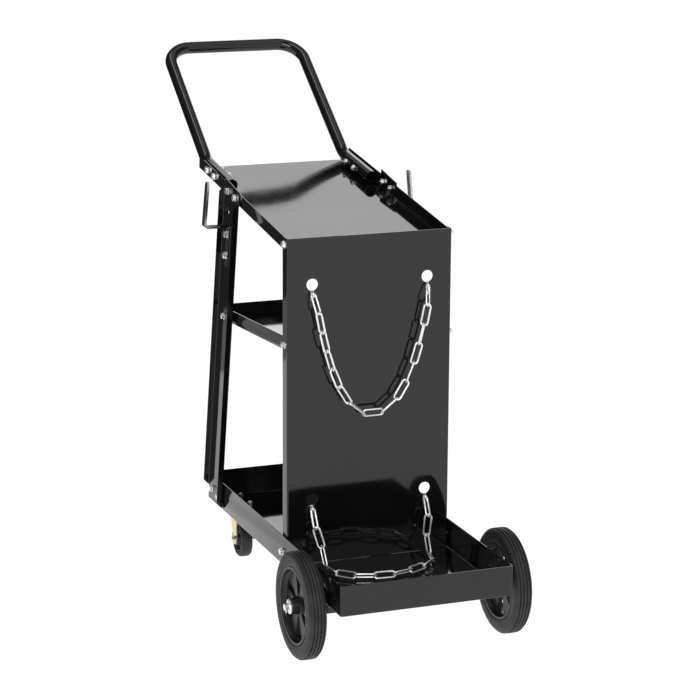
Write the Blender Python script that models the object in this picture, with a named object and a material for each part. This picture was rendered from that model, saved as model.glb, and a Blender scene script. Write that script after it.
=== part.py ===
"""Welding cart: folded steel shelves, a bottle bay with safety chains, two wheels and two castors.

Lengths are metres and Z is up. +Y points to the push handle, -Y to the bottle
bay, +X to the right side seen from the bottle bay. The design is drawn with
Y = 0 on the front face of the bottle panel; every object is then moved so that
the origin sits on the floor below the middle of the cart.
"""

import math

import bmesh
import bpy
from mathutils import Matrix, Vector

MM = 0.001
SIDES = (("left", -1), ("right", 1))

# sheet metal
SHEET = 1.5 * MM
FOLD = 1.5 * MM
GAP = 0.3 * MM

# base tray
TRAY_HALF = 149.0 * MM
TRAY_FRONT = -261.0 * MM
TRAY_BACK = 413.0 * MM
TRAY_BOTTOM = 97.4 * MM
TRAY_HEIGHT = 51.4 * MM

# bottle panel
PANEL_HALF = 145.0 * MM
PANEL_TOP = 655.0 * MM
PANEL_FLANGE = 22.5 * MM
KEYHOLE_X = 101.5 * MM
KEYHOLE_ZS = {"upper": 577.0 * MM, "lower": 210.4 * MM}
KEYHOLE_RADIUS = 10.0 * MM
SLOT_HALF = 3.0 * MM
SLOT_DROP = 33.0 * MM

# shelves
SHELF_HALF = 143.2 * MM
MIDDLE_Z = 466.6 * MM
MIDDLE_TILT = math.radians(-3.48)
MIDDLE_START = 1.9 * MM
MIDDLE_END = 367.6 * MM
MIDDLE_FLANGE = 24.0 * MM
TOP_Z = 629.2 * MM
TOP_TILT = math.radians(7.82)
TOP_START_Y = 3.4 * MM
TOP_END = 479.0 * MM
TOP_FLANGE = 23.1 * MM

# posts: channels that open outwards
POST_HALF = 40.0 * MM
POST_FLANGE = 11.5 * MM
POST_BOTTOM = 101.4 * MM
POST_AXIS_Y = 372.4 * MM
POST_AXIS_Z = 110.0 * MM
POST_LEAN = -0.157
POST_LOW_X, POST_LOW_Z = 149.3 * MM, 149.0 * MM
POST_HIGH_X, POST_HIGH_Z = 143.5 * MM, 703.0 * MM
POST_TOP_Y, POST_TOP_Z = 317.0 * MM, 703.0 * MM
POST_TOP_SLOPE = 0.183
POST_NOTCH = 3.2 * MM
POST_CUTS = ((1, 124.0 * MM, -1), (-1, 100.9 * MM, -1), (1, 692.0 * MM, 1), (-1, 673.0 * MM, 1))
SPARE_HOLE = (301.0 * MM, 646.0 * MM)
SPARE_RADIUS = 3.5 * MM

# handle
TUBE_RADIUS = 11.0 * MM
TUBE_WALL = 1.5 * MM
LEG_X = 130.4 * MM
LEG_START_Y = 328.0 * MM
LEG_Z = 642.3 * MM
BEND_Y = 467.1 * MM
BAR_Y = 712.4 * MM
BAR_Z = 879.7 * MM
BEND_RADIUS = 70.0 * MM
CORNER_RADIUS = 45.0 * MM

# cable hooks
HOOK_WIDTH = 15.0 * MM
HOOK_THICK = 4.0 * MM
HOOK_LOW = 551.0 * MM
HOOK_ARM_Z = 624.0 * MM
HOOK_REACH = 193.0 * MM
HOOK_TIP_X = 186.0 * MM
HOOK_TIP_Z = 703.0 * MM
HOOK_BEND = 5.0 * MM

# fasteners
BOLT_RADIUS = 2.9 * MM
HOLE_RADIUS = 3.3 * MM
HEAD_FLAT = 5.0 * MM
HEAD_HEIGHT = 4.0 * MM
WASHER_RADIUS = 6.4 * MM
WASHER_THICK = 1.4 * MM
NUT_HEIGHT = 5.0 * MM

# wheels and axle
WHEEL_X = 178.5 * MM
WHEEL_Y = -159.7 * MM
WHEEL_RADIUS = 88.1 * MM
TYRE_HALF = 15.0 * MM
RIM_RADIUS = 63.7 * MM
RIM_BORE = 59.5 * MM
WEB_HALF = 4.0 * MM
HUB_RADIUS = 13.5 * MM
HUB_HALF = 18.0 * MM
WINDOWS = 6
WINDOW_TURN = math.radians(29.0)
AXLE_RADIUS = 6.0 * MM
AXLE_HALF = 207.0 * MM
AXLE_BORE = 6.3 * MM
PIN_X = 202.0 * MM
PIN_RADIUS = 1.6 * MM
PIN_TURN = math.radians(35.0)
CARRIER_HALF = 141.0 * MM
CARRIER_HALF_Y = 19.0 * MM
CARRIER_LOW = 75.0 * MM

WHEEL_WASHER_RADIUS, WHEEL_WASHER_THICK = 12.0 * MM, 2.0 * MM
SPACER_RADIUS = 9.0 * MM
RIM_HALF = 14.0 * MM
PIN_LOW, PIN_HIGH = -11.0 * MM, 10.5 * MM
PIN_EYE_UP, PIN_EYE_RADIUS, PIN_EYE_WIRE = 12.5 * MM, 3.4 * MM, 1.0 * MM

# castors
CASTOR_X = 104.0 * MM
CASTOR_Y = 376.0 * MM
CASTOR_TRAIL = 18.0 * MM
CASTOR_RADIUS = 31.5 * MM
CASTOR_TYRE_HALF = 10.0 * MM
PLATE_HALF_X, PLATE_HALF_Y = 23.0 * MM, 36.0 * MM
PLATE_BOLT_X, PLATE_BOLT_Y = 11.5 * MM, 27.0 * MM
PLATE_THICK = 2.5 * MM
RACE_RADIUS = 17.0 * MM
RACE_LOW, RACE_EDGE = 89.0 * MM, 92.0 * MM
CROWN_TOP = 88.7 * MM
FORK_THICK = 2.5 * MM
FORK_HALF = 12.75 * MM
CROWN_HALF, CROWN_BEND = 19.0 * MM, 5.0 * MM
CHEEK_Z, CHEEK_BACK, CHEEK_HALF = 72.0 * MM, -5.0 * MM, 16.5 * MM
FORK_END_HALF = 9.0 * MM
KINGPIN_RADIUS = 5.0 * MM
KINGPIN_HEAD_RADIUS, KINGPIN_HEAD_HEIGHT = 8.0 * MM, 3.2 * MM
CASTOR_BORE = 22.0 * MM
CASTOR_HUB_RADIUS, CASTOR_HUB_HALF = 8.5 * MM, 11.0 * MM
CASTOR_BOLT_RADIUS = 4.0 * MM

# chains: long-link chain, each end held in a slot by a link that lies across the panel
WIRE = 3.8 * MM
PITCH = 33.2 * MM
LINK_WIDTH = 15.0 * MM
SLOT_Y = -3.5 * MM
CHAIN_Y = -16.5 * MM
SLOT_SLOPE = math.radians(-30.0)
HANG_DROP = 15.0 * MM
LINKS = 15
LOWER_LINKS = 14
CHAIN_FLOOR = TRAY_BOTTOM + SHEET + 8.2 * MM
FALL_X, FALL_Y, FALL_DROP = 99.5 * MM, -17.0 * MM, 31.0 * MM
LOOP_HALF, LOOP_Y, LOOP_SKEW, LOOP_REACH = 94.0 * MM, -47.0 * MM, 9.0 * MM, 71.0 * MM
UPPER_ROLLS = (-33, 57, -20, 60, -15, 45, 100, 10, 70, -15, 68, -15, 55, -35, 38)
END_ROLL, FACE_ROLL, EDGE_ROLL = -35.0, 15.0, 80.0

CENTRE_Y = (TRAY_FRONT + BAR_Y + TUBE_RADIUS) / 2

FINISHES = {
    "coat": ((0.012, 0.012, 0.013, 1.0), 0.0, 0.12),
    "zinc": ((0.62, 0.62, 0.60, 1.0), 1.0, 0.28),
    "gold_zinc": ((0.62, 0.45, 0.16, 1.0), 1.0, 0.32),
    "steel": ((0.45, 0.45, 0.45, 1.0), 1.0, 0.35),
    "rubber": ((0.030, 0.030, 0.032, 1.0), 0.0, 0.65),
    "plastic": ((0.020, 0.020, 0.022, 1.0), 0.0, 0.45),
}
SMOOTH_BELOW = math.radians(35.0)


# ---------------------------------------------------------------- meshes
def clear_scene():
    for item in list(bpy.data.objects):
        bpy.data.objects.remove(item, do_unlink=True)


def add_rings(bm, rings, closed=False):
    """Skins a list of equal rings: capped at both ends, or joined end to end when closed."""
    made = [[bm.verts.new(point) for point in ring] for ring in rings]
    pairs = list(zip(made, made[1:]))
    if closed:
        pairs.append((made[-1], made[0]))
    else:
        bm.faces.new(made[0])
        bm.faces.new(made[-1])
    count = len(made[0])
    for low, high in pairs:
        for i in range(count):
            j = (i + 1) % count
            bm.faces.new((low[i], low[j], high[j], high[i]))


def finish_material(name, finish):
    colour, metallic, roughness = FINISHES[finish]
    material = bpy.data.materials.new(name + "_" + finish)
    material.use_nodes = True
    shader = material.node_tree.nodes["Principled BSDF"]
    shader.inputs["Base Color"].default_value = colour
    shader.inputs["Metallic"].default_value = metallic
    shader.inputs["Roughness"].default_value = roughness
    return material


def add_object(name, skins, finish, origin=(0.0, 0.0, 0.0)):
    """One named object from (rings, closed) skins, with its origin at the given design point."""
    bm = bmesh.new()
    for rings, closed in skins:
        add_rings(bm, rings, closed)
    bmesh.ops.recalc_face_normals(bm, faces=bm.faces)
    origin = Vector(origin)
    bmesh.ops.translate(bm, verts=bm.verts, vec=-origin)
    mesh = bpy.data.meshes.new(name)
    bm.to_mesh(mesh)
    bm.free()
    for face in mesh.polygons:
        face.use_smooth = True
    mesh.set_sharp_from_angle(angle=SMOOTH_BELOW)
    item = bpy.data.objects.new(name, mesh)
    item.location = origin - Vector((0.0, CENTRE_Y, 0.0))
    bpy.context.scene.collection.objects.link(item)
    mesh.materials.append(finish_material(name, finish))
    return item


def add_boolean(item, other, operation):
    other.hide_render = True
    other.display_type = "WIRE"
    modifier = item.modifiers.new(other.name, "BOOLEAN")
    modifier.operation = operation
    modifier.solver = "EXACT"
    modifier.object = other


def cut(item, name, skins):
    add_boolean(item, add_object(name, skins, "steel"), "DIFFERENCE")


# ---------------------------------------------------------------- outlines
def on_axis(axis, centre, offset, outline):
    """Places 2-D outline points on a plane across an axis."""
    x, y, z = centre
    if axis == "X":
        return [(x + offset, y + a, z + b) for a, b in outline]
    if axis == "Y":
        return [(x + a, y + offset, z + b) for a, b in outline]
    return [(x + a, y + b, z + offset) for a, b in outline]


def circle(radius, steps, turn=0.0):
    angles = [turn + 2 * math.pi * k / steps for k in range(steps)]
    return [(radius * math.cos(a), radius * math.sin(a)) for a in angles]


def hexagon(flat, steps):
    """Hexagon with its flats at the given distance, sampled at a multiple of six directions."""
    points = []
    for k in range(steps):
        angle = 2 * math.pi * k / steps
        off = (angle % (math.pi / 3)) - math.pi / 6
        reach = flat / math.cos(off)
        points.append((reach * math.cos(angle), reach * math.sin(angle)))
    return points


def arc(centre, radius, start, end, steps):
    points = []
    for k in range(steps + 1):
        angle = start + (end - start) * k / steps
        x = centre[0] + radius * math.cos(angle)
        points.append((x, centre[1] + radius * math.sin(angle)))
    return points


def rod(axis, centre, low, high, radius, steps=12):
    """Skin of a plain cylinder from low to high along the axis."""
    outline = circle(radius, steps)
    rings = [on_axis(axis, centre, offset, outline) for offset in (low, high)]
    return rings, False


def turned(axis, centre, profile, steps, closed=True):
    """Skin turned about the axis from (offset, radius) points."""
    rings = [on_axis(axis, centre, offset, circle(radius, steps)) for offset, radius in profile]
    return rings, closed


def u_outline(half, height, steps=2):
    """Folded channel section: web on the first axis, flanges along the second."""
    outer = SHEET + FOLD
    right_out = arc((half - outer, outer), outer, -math.pi / 2, 0.0, steps)
    right_in = arc((half - outer, outer), FOLD, 0.0, -math.pi / 2, steps)
    right = right_out + [(half, height), (half - SHEET, height)] + right_in
    return right + [(-a, b) for a, b in reversed(right)]


def rounded_rectangle(x0, x1, y0, y1, radius, steps=2):
    corners = ((x1, y1, 0), (x0, y1, 1), (x0, y0, 2), (x1, y0, 3))
    points = []
    for x, y, quarter in corners:
        cx = x - radius if x == x1 else x + radius
        cy = y - radius if y == y1 else y + radius
        start = quarter * math.pi / 2
        points += arc((cx, cy), radius, start, start + math.pi / 2, steps)
    return points


def pan_rings(half, y0, y1, height, sheet=SHEET, steps=2):
    """Local rings of a folded pan: floor at 0, four walls rising to the height."""
    outer = sheet + FOLD
    levels = []
    for k in range(steps + 1):
        angle = math.pi / 2 * k / steps
        levels.append((outer * (1 - math.sin(angle)), outer * (1 - math.cos(angle))))
    levels += [(0.0, height), (sheet, height)]
    for k in range(steps, -1, -1):
        angle = math.pi / 2 * k / steps
        rise = sheet + FOLD * (1 - math.cos(angle))
        levels.append((sheet + FOLD * (1 - math.sin(angle)), rise))
    rings = []
    for inset, z in levels:
        radius = max(outer - inset, 0.4 * MM)
        box = rounded_rectangle(-half + inset, half - inset, y0 + inset, y1 - inset, radius)
        rings.append([(x, y, z) for x, y in box])
    return rings


def moved(rings, matrix):
    return [[matrix @ Vector(point) for point in ring] for ring in rings]


def bore_x(y, z, x0, x1, radius=HOLE_RADIUS, steps=8):
    """Cutter along X between two distances from the middle, at a design Y and Z."""
    return rod("X", (0.0, y, z), x0, x1, radius, steps)


def both_sides(places, x0, x1):
    """Bolt-hole cutters through the left and the right side at each (y, z) place."""
    skins = []
    for y, z in places:
        skins.append(bore_x(y, z, x0, x1))
        skins.append(bore_x(y, z, -x1, -x0))
    return skins


# ---------------------------------------------------------------- places shared by several parts
def post_axis_y(z):
    return POST_AXIS_Y + POST_LEAN * (z - POST_AXIS_Z)


def post_inner_x(z):
    share = (z - POST_LOW_Z) / (POST_HIGH_Z - POST_LOW_Z)
    return POST_LOW_X + (POST_HIGH_X - POST_LOW_X) * share


def top_floor_z(y):
    """Underside of the top shelf at a design Y."""
    return TOP_Z + math.tan(TOP_TILT) * y


def leg_axis_z(y):
    return LEG_Z + math.tan(TOP_TILT) * y


HANDLE_BOLTS = [(y, leg_axis_z(y)) for y in (384.0 * MM, 422.0 * MM)]
POST_TOP_BOLTS = [(y, top_floor_z(y) + 12.5 * MM) for y in (263.0 * MM, 301.0 * MM)]
POST_MIDDLE_BOLTS = [(322.0 * MM, 458.0 * MM)]
POST_TRAY_BOLTS = [(347.0 * MM, 119.5 * MM), (385.0 * MM, 124.0 * MM)]
HOOK_BOLTS = [(post_axis_y(z), z) for z in (571.0 * MM, 609.0 * MM)]
PANEL_TOP_BOLTS = [(11.0 * MM, 645.0 * MM)]
PANEL_MIDDLE_BOLTS = [(12.0 * MM, 477.0 * MM)]
PANEL_TRAY_BOLTS = [(11.0 * MM, 122.0 * MM)]


def plate_bolt_centres(side):
    """Places of the four bolts that hold one castor plate under the tray."""
    x, y = PLATE_BOLT_X, PLATE_BOLT_Y
    return [(side * CASTOR_X + a, CASTOR_Y + b, 0.0) for a, b in ((-x, -y), (x, -y), (x, y), (-x, y))]


# ---------------------------------------------------------------- folded sheets
def make_base_tray():
    rings = pan_rings(TRAY_HALF, TRAY_FRONT, TRAY_BACK, TRAY_HEIGHT)
    rings = moved(rings, Matrix.Translation((0.0, 0.0, TRAY_BOTTOM)))
    tray = add_object("base_tray", [(rings, False)], "coat")
    places = POST_TRAY_BOLTS + PANEL_TRAY_BOLTS
    holes = both_sides(places, TRAY_HALF - 6 * MM, TRAY_HALF + 6 * MM)
    for _, side in SIDES:
        for centre in plate_bolt_centres(side):
            holes.append(rod("Z", centre, TRAY_BOTTOM - 5 * MM, TRAY_BOTTOM + 8 * MM, HOLE_RADIUS, 8))
    cut(tray, "base_tray_holes", holes)


def make_middle_shelf():
    rings = pan_rings(SHELF_HALF, MIDDLE_START, MIDDLE_END, MIDDLE_FLANGE)
    place = Matrix.Translation((0.0, 0.0, MIDDLE_Z)) @ Matrix.Rotation(MIDDLE_TILT, 4, "X")
    shelf = add_object("middle_shelf", [(moved(rings, place), False)], "coat")
    places = POST_MIDDLE_BOLTS + PANEL_MIDDLE_BOLTS
    cut(shelf, "middle_shelf_holes", both_sides(places, SHELF_HALF - 6 * MM, SHELF_HALF + 6 * MM))


def make_top_shelf():
    outline = u_outline(SHELF_HALF, TOP_FLANGE)
    place = Matrix.Translation((0.0, 0.0, TOP_Z)) @ Matrix.Rotation(TOP_TILT, 4, "X")
    lean, fall = math.cos(TOP_TILT), math.sin(TOP_TILT)
    start = [place @ Vector((x, (TOP_START_Y + n * fall) / lean, n)) for x, n in outline]
    end = [place @ Vector((x, TOP_END, n)) for x, n in outline]
    shelf = add_object("top_shelf", [([start, end], False)], "coat")
    places = HANDLE_BOLTS + POST_TOP_BOLTS + PANEL_TOP_BOLTS
    cut(shelf, "top_shelf_holes", both_sides(places, SHELF_HALF - 6 * MM, SHELF_HALF + 6 * MM))


def keyhole_outline(steps=12):
    """Round hole with a narrow slot running down from it."""
    start = -math.pi / 2 + math.asin(SLOT_HALF / KEYHOLE_RADIUS)
    points = arc((0.0, 0.0), KEYHOLE_RADIUS, start, math.pi - start, steps)
    return points + arc((0.0, SLOT_HALF - SLOT_DROP), SLOT_HALF, math.pi, 2 * math.pi, 4)


def make_bottle_panel():
    outline = u_outline(PANEL_HALF, PANEL_FLANGE)
    low = TRAY_BOTTOM + SHEET + GAP
    rings = [[(x, y, z) for x, y in outline] for z in (low, PANEL_TOP)]
    panel = add_object("bottle_panel", [(rings, False)], "coat")
    places = PANEL_TOP_BOLTS + PANEL_MIDDLE_BOLTS + PANEL_TRAY_BOLTS
    cut(panel, "bottle_panel_holes", both_sides(places, PANEL_HALF - 6 * MM, PANEL_HALF + 6 * MM))
    keyholes = []
    for _, side in SIDES:
        for z in KEYHOLE_ZS.values():
            centre = (side * KEYHOLE_X, 0.0, z)
            depths = (-5 * MM, 6 * MM)
            rings = [on_axis("Y", centre, depth, keyhole_outline()) for depth in depths]
            keyholes.append((rings, False))
    cut(panel, "bottle_panel_keyholes", keyholes)


def post_notch(side, edge, z, up):
    """Wedge that ends one flange at z, its tip cut back at 45 degrees; up says which way it lies."""
    reach = 60 * MM * up
    wedge = [(-6 * MM, z), (0.0, z), (20 * MM, z - 20 * MM * up)]
    wedge += [(20 * MM, z + reach), (-6 * MM, z + reach)]
    rings = []
    for across in (POST_HALF - POST_NOTCH, POST_HALF + 10 * MM):
        ring = []
        for out, height in wedge:
            x = side * (post_inner_x(height) + out)
            ring.append((x, post_axis_y(height) + edge * across, height))
        rings.append(ring)
    return rings, False


def make_post(word, side):
    outline = u_outline(POST_HALF, POST_FLANGE)
    low, high = [], []
    for across, out in outline:
        x = side * (post_inner_x(POST_BOTTOM) + out)
        low.append((x, post_axis_y(POST_BOTTOM) + across, POST_BOTTOM))
        rise = POST_TOP_SLOPE * (post_axis_y(POST_TOP_Z) + across - POST_TOP_Y)
        z = POST_TOP_Z + rise / (1 - POST_TOP_SLOPE * POST_LEAN)
        high.append((side * (post_inner_x(z) + out), post_axis_y(z) + across, z))
    post = add_object("post_" + word, [([low, high], False)], "coat")
    notches = [post_notch(side, edge, z, up) for edge, z, up in POST_CUTS]
    cut(post, "post_notches_" + word, notches)
    holes = []
    for places in (POST_TOP_BOLTS, POST_MIDDLE_BOLTS, POST_TRAY_BOLTS, HOOK_BOLTS):
        for y, z in places:
            x = side * post_inner_x(z)
            holes.append(bore_x(y, z, x - 5 * MM, x + 6 * MM))
    y, z = SPARE_HOLE
    x = side * post_inner_x(z)
    holes.append(bore_x(y, z, x - 5 * MM, x + 6 * MM, SPARE_RADIUS))
    cut(post, "post_holes_" + word, holes)


# ---------------------------------------------------------------- handle and hooks
def rounded_path(corners, radii, steps):
    """Polyline through 3-D corners with an arc of the given radius at each inner corner."""
    corners = [Vector(corner) for corner in corners]
    path = [corners[0]]
    for before, corner, after, radius in zip(corners, corners[1:], corners[2:], radii):
        u = (before - corner).normalized()
        v = (after - corner).normalized()
        half = u.angle(v) / 2
        centre = corner + (u + v).normalized() * (radius / math.sin(half))
        first = corner + u * (radius / math.tan(half)) - centre
        last = corner + v * (radius / math.tan(half)) - centre
        spread = first.angle(last)
        for k in range(steps + 1):
            share = k / steps
            near = math.sin((1 - share) * spread) / math.sin(spread)
            far = math.sin(share * spread) / math.sin(spread)
            path.append(centre + first * near + last * far)
    return path + [corners[-1]]


def directions(path):
    """Unit travel direction at each point of a path."""
    found = []
    for k in range(len(path)):
        before = path[max(k - 1, 0)]
        after = path[min(k + 1, len(path) - 1)]
        if 0 < k < len(path) - 1:
            step = (path[k] - before).normalized() + (after - path[k]).normalized()
        else:
            step = after - before
        found.append(step.normalized())
    return found


def tube_rings(path, radius, steps):
    """Rings across a path, kept from twisting by carrying the side direction along."""
    rings = []
    side = None
    for point, travel in zip(path, directions(path)):
        if side is None:
            side = travel.orthogonal()
        side = (side - travel * side.dot(travel)).normalized()
        other = travel.cross(side)
        rings.append([point + side * a + other * b for a, b in circle(radius, steps)])
    return rings


def make_handle():
    corners = []
    for y, z in ((LEG_START_Y, leg_axis_z(LEG_START_Y)), (BEND_Y, leg_axis_z(BEND_Y)), (BAR_Y, BAR_Z)):
        corners.append((-LEG_X, y, z))
    corners += [(-x, y, z) for x, y, z in reversed(corners)]
    radii = (BEND_RADIUS, CORNER_RADIUS, CORNER_RADIUS, BEND_RADIUS)
    path = rounded_path(corners, radii, 5)
    outer = tube_rings(path, TUBE_RADIUS, 10)
    inner = tube_rings(path, TUBE_RADIUS - TUBE_WALL, 10)
    handle = add_object("handle", [(outer + inner[::-1], True)], "coat")
    holes = both_sides(HANDLE_BOLTS, LEG_X - 16 * MM, LEG_X + 16 * MM)
    cut(handle, "handle_holes", holes)


def strap_rings(stations, thick):
    """Flat bar bent in the XZ plane from (x, z, y middle, half width) stations."""
    path = [Vector((x, 0.0, z)) for x, z, _, _ in stations]
    rings = []
    for k, travel in enumerate(directions(path)):
        step = path[k] - path[k - 1] if k else path[1] - path[0]
        mitre = max(travel.dot(step.normalized()), 0.5)
        normal = travel.cross(Vector((0.0, 1.0, 0.0))) * (thick / 2 / mitre)
        _, _, middle, half = stations[k]
        centre = path[k] + Vector((0.0, middle, 0.0))
        wide = Vector((0.0, half, 0.0))
        near, far = centre - wide, centre + wide
        rings.append([near - normal, near + normal, far + normal, far - normal])
    return rings


def rounded_end(length, half, steps=4):
    """(distance from the end, half width) pairs that round off a strap's end."""
    pairs = []
    for k in range(steps):
        back = half * (1 - math.cos(math.pi / 2 * k / steps))
        wide = half * math.sin(math.pi / 2 * (k + 0.35) / (steps + 0.35))
        pairs.append((min(back, length), wide))
    return pairs + [(half, half)]


def make_hook(word, side):
    seat = post_inner_x(HOOK_ARM_Z) + SHEET + GAP + HOOK_THICK / 2 + 0.2 * MM
    foot = seat + (HOOK_ARM_Z - HOOK_LOW) * (POST_LOW_X - POST_HIGH_X) / (POST_HIGH_Z - POST_LOW_Z)
    corners = [(foot, 0.0, HOOK_LOW), (seat, 0.0, HOOK_ARM_Z), (HOOK_REACH, 0.0, HOOK_ARM_Z)]
    corners.append((HOOK_TIP_X, 0.0, HOOK_TIP_Z))
    path = rounded_path(corners, (HOOK_BEND, HOOK_BEND), 4)
    tip, before = path.pop(), path[-1]
    travel = (tip - before).normalized()
    stations = []
    for point in path:
        middle = post_axis_y(min(point.z, HOOK_ARM_Z))
        stations.append((point.x, point.z, middle, HOOK_WIDTH / 2))
    arm_y = post_axis_y(HOOK_ARM_Z)
    for back, half in reversed(rounded_end(HOOK_WIDTH, HOOK_WIDTH / 2)):
        point = tip - travel * back
        stations.append((point.x, point.z, arm_y, half))
    rings = strap_rings(stations, HOOK_THICK)
    if side < 0:
        rings = [[(-p.x, p.y, p.z) for p in ring] for ring in rings]
    hook = add_object("cable_hook_" + word, [(rings, False)], "zinc")
    holes = [bore_x(y, z, side * (seat - 6 * MM), side * (seat + 8 * MM)) for y, z in HOOK_BOLTS]
    cut(hook, "cable_hook_holes_" + word, holes)


# ---------------------------------------------------------------- bolts with their nuts
def bolt_rings(side, y, z, head_x, nut_x, radius=BOLT_RADIUS, scale=1.0):
    """Head outside, washer ring, shank, nut inside; head_x and nut_x are the clamped faces."""
    steps = 12
    out = side * scale
    washer = head_x + out * WASHER_THICK
    head = washer + out * HEAD_HEIGHT
    nut = nut_x - out * NUT_HEIGHT
    flat = HEAD_FLAT * scale
    sections = [
        (head, hexagon(flat, steps)),
        (washer, hexagon(flat, steps)),
        (head_x, circle(WASHER_RADIUS * scale, steps)),
        (head_x, circle(radius, steps)),
        (nut_x, circle(radius, steps)),
        (nut_x, hexagon(flat, steps)),
        (nut, hexagon(flat, steps)),
    ]
    return [on_axis("X", (0.0, y, z), x, outline) for x, outline in sections]


def make_bolts(prefix, places, head_face, nut_face):
    """Bolts on both sides; the faces are distances from the middle at a given height."""
    for number, (y, z) in enumerate(places, 1):
        for word, side in SIDES:
            name = prefix + "_" + word
            if len(places) > 1:
                name += "_" + str(number)
            rings = bolt_rings(side, y, z, side * head_face(z), side * nut_face(z))
            add_object(name, [(rings, False)], "zinc")


def make_all_bolts():
    shelf_out, shelf_in = SHELF_HALF + GAP, SHELF_HALF - SHEET - GAP
    tray_out, tray_in = TRAY_HALF + GAP, TRAY_HALF - SHEET - GAP
    panel_out, panel_in = PANEL_HALF + GAP, PANEL_HALF - SHEET - GAP
    tube_in = LEG_X - TUBE_RADIUS - GAP

    def post_out(z):
        return post_inner_x(z) + SHEET + GAP + 0.15 * MM

    def post_in(z):
        return post_inner_x(z) - GAP - 0.15 * MM

    def hook_out(z):
        return post_inner_x(z) + SHEET + HOOK_THICK + 2 * GAP + 0.3 * MM

    make_bolts("handle_bolt", HANDLE_BOLTS, lambda z: shelf_out, lambda z: tube_in)
    make_bolts("post_top_bolt", POST_TOP_BOLTS, post_out, lambda z: shelf_in)
    make_bolts("post_middle_bolt", POST_MIDDLE_BOLTS, post_out, lambda z: shelf_in)
    make_bolts("post_tray_bolt", POST_TRAY_BOLTS, post_out, lambda z: tray_in)
    make_bolts("hook_bolt", HOOK_BOLTS, hook_out, post_in)
    make_bolts("panel_top_bolt", PANEL_TOP_BOLTS, lambda z: panel_out, lambda z: shelf_in)
    make_bolts("panel_middle_bolt", PANEL_MIDDLE_BOLTS, lambda z: panel_out, lambda z: shelf_in)
    make_bolts("panel_tray_bolt", PANEL_TRAY_BOLTS, lambda z: tray_out, lambda z: panel_in)


# ---------------------------------------------------------------- wheels and axle
def make_axle_carrier():
    height = TRAY_BOTTOM - GAP - CARRIER_LOW
    y0, y1 = WHEEL_Y - CARRIER_HALF_Y, WHEEL_Y + CARRIER_HALF_Y
    rings = pan_rings(CARRIER_HALF, y0, y1, height, SHEET)
    rings = [[(x, y, TRAY_BOTTOM - GAP - z) for x, y, z in ring] for ring in rings]
    carrier = add_object("axle_carrier", [(rings, False)], "coat")
    half = CARRIER_HALF
    places = [(half - 6 * MM, half + 6 * MM), (-half - 6 * MM, -half + 6 * MM)]
    bores = [bore_x(WHEEL_Y, WHEEL_RADIUS, x0, x1, AXLE_BORE, 16) for x0, x1 in places]
    cut(carrier, "axle_carrier_bores", bores)


def pin_frame(side):
    """Origin on the axle at a split pin, with Z along the pin."""
    place = Matrix.Translation((side * PIN_X, WHEEL_Y, WHEEL_RADIUS))
    return place @ Matrix.Rotation(PIN_TURN, 4, "X")


def make_axle():
    chamfer = 1.0 * MM
    profile = [(-AXLE_HALF, AXLE_RADIUS - chamfer), (-AXLE_HALF + chamfer, AXLE_RADIUS)]
    profile += [(-offset, radius) for offset, radius in reversed(profile)]
    axle = add_object("axle", [turned("X", (0.0, WHEEL_Y, WHEEL_RADIUS), profile, 16, False)], "zinc")
    holes = []
    for _, side in SIDES:
        rings, closed = rod("Z", (0.0, 0.0, 0.0), -12 * MM, 12 * MM, PIN_RADIUS + GAP)
        holes.append((moved(rings, pin_frame(side)), closed))
    cut(axle, "axle_pin_holes", holes)


def make_split_pin(word, side):
    """Round leg through the axle with a ring eye at its upper end."""
    rings, closed = rod("Z", (0.0, 0.0, 0.0), PIN_LOW, PIN_HIGH, PIN_RADIUS, 8)
    pin = add_object("split_pin_" + word, [(moved(rings, pin_frame(side)), closed)], "zinc")
    eye = []
    for a, b in circle(PIN_EYE_RADIUS, 10):
        centre = Vector((0.0, a, b + PIN_EYE_UP))
        out = Vector((0.0, a, b)).normalized()
        eye.append([centre + out * c + Vector((d, 0.0, 0.0)) for c, d in circle(PIN_EYE_WIRE, 5)])
    ring = add_object("split_pin_eye_" + word, [(moved(eye, pin_frame(side)), True)], "zinc")
    add_boolean(pin, ring, "UNION")


def tyre_profile(half, radius, bore):
    """Closed (offset, radius) loop of a tyre with rounded shoulders."""
    shoulder = 6 * MM if radius > 50 * MM else 3 * MM
    right = [(half, bore), (half, radius - shoulder * 1.2)]
    right += [(half - shoulder * 0.35, radius - shoulder * 0.4), (half - shoulder, radius)]
    return right + [(-offset, r) for offset, r in reversed(right)]


def window_cutter(centre, turn):
    """Wedge opening between two spokes."""
    outer, inner = RIM_BORE - 3.5 * MM, HUB_RADIUS + 4 * MM
    half = WINDOW_TURN / 2
    outline = arc((0.0, 0.0), outer, turn - half, turn + half, 4)
    outline += arc((0.0, 0.0), inner, turn + half * 0.9, turn - half * 0.9, 2)
    rings = [on_axis("X", centre, offset, outline) for offset in (-9 * MM, 9 * MM)]
    return rings, False


def make_wheel(word, side):
    centre = (side * WHEEL_X, WHEEL_Y, WHEEL_RADIUS)
    tyre = tyre_profile(TYRE_HALF, WHEEL_RADIUS, RIM_RADIUS + GAP)
    add_object("wheel_tyre_" + word, [turned("X", centre, tyre, 32)], "rubber", centre)
    right = [(RIM_HALF, RIM_RADIUS), (RIM_HALF, RIM_BORE), (WEB_HALF, RIM_BORE - 1.5 * MM)]
    right += [(WEB_HALF, HUB_RADIUS + 2 * MM), (HUB_HALF, HUB_RADIUS), (HUB_HALF, AXLE_BORE)]
    profile = right + [(-offset, radius) for offset, radius in reversed(right)]
    rim = add_object("wheel_rim_" + word, [turned("X", centre, profile, 28)], "plastic", centre)
    windows = []
    for k in range(WINDOWS):
        windows.append(window_cutter(centre, 2 * math.pi * (k + 0.5) / WINDOWS))
    cut(rim, "wheel_windows_" + word, windows)


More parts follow.
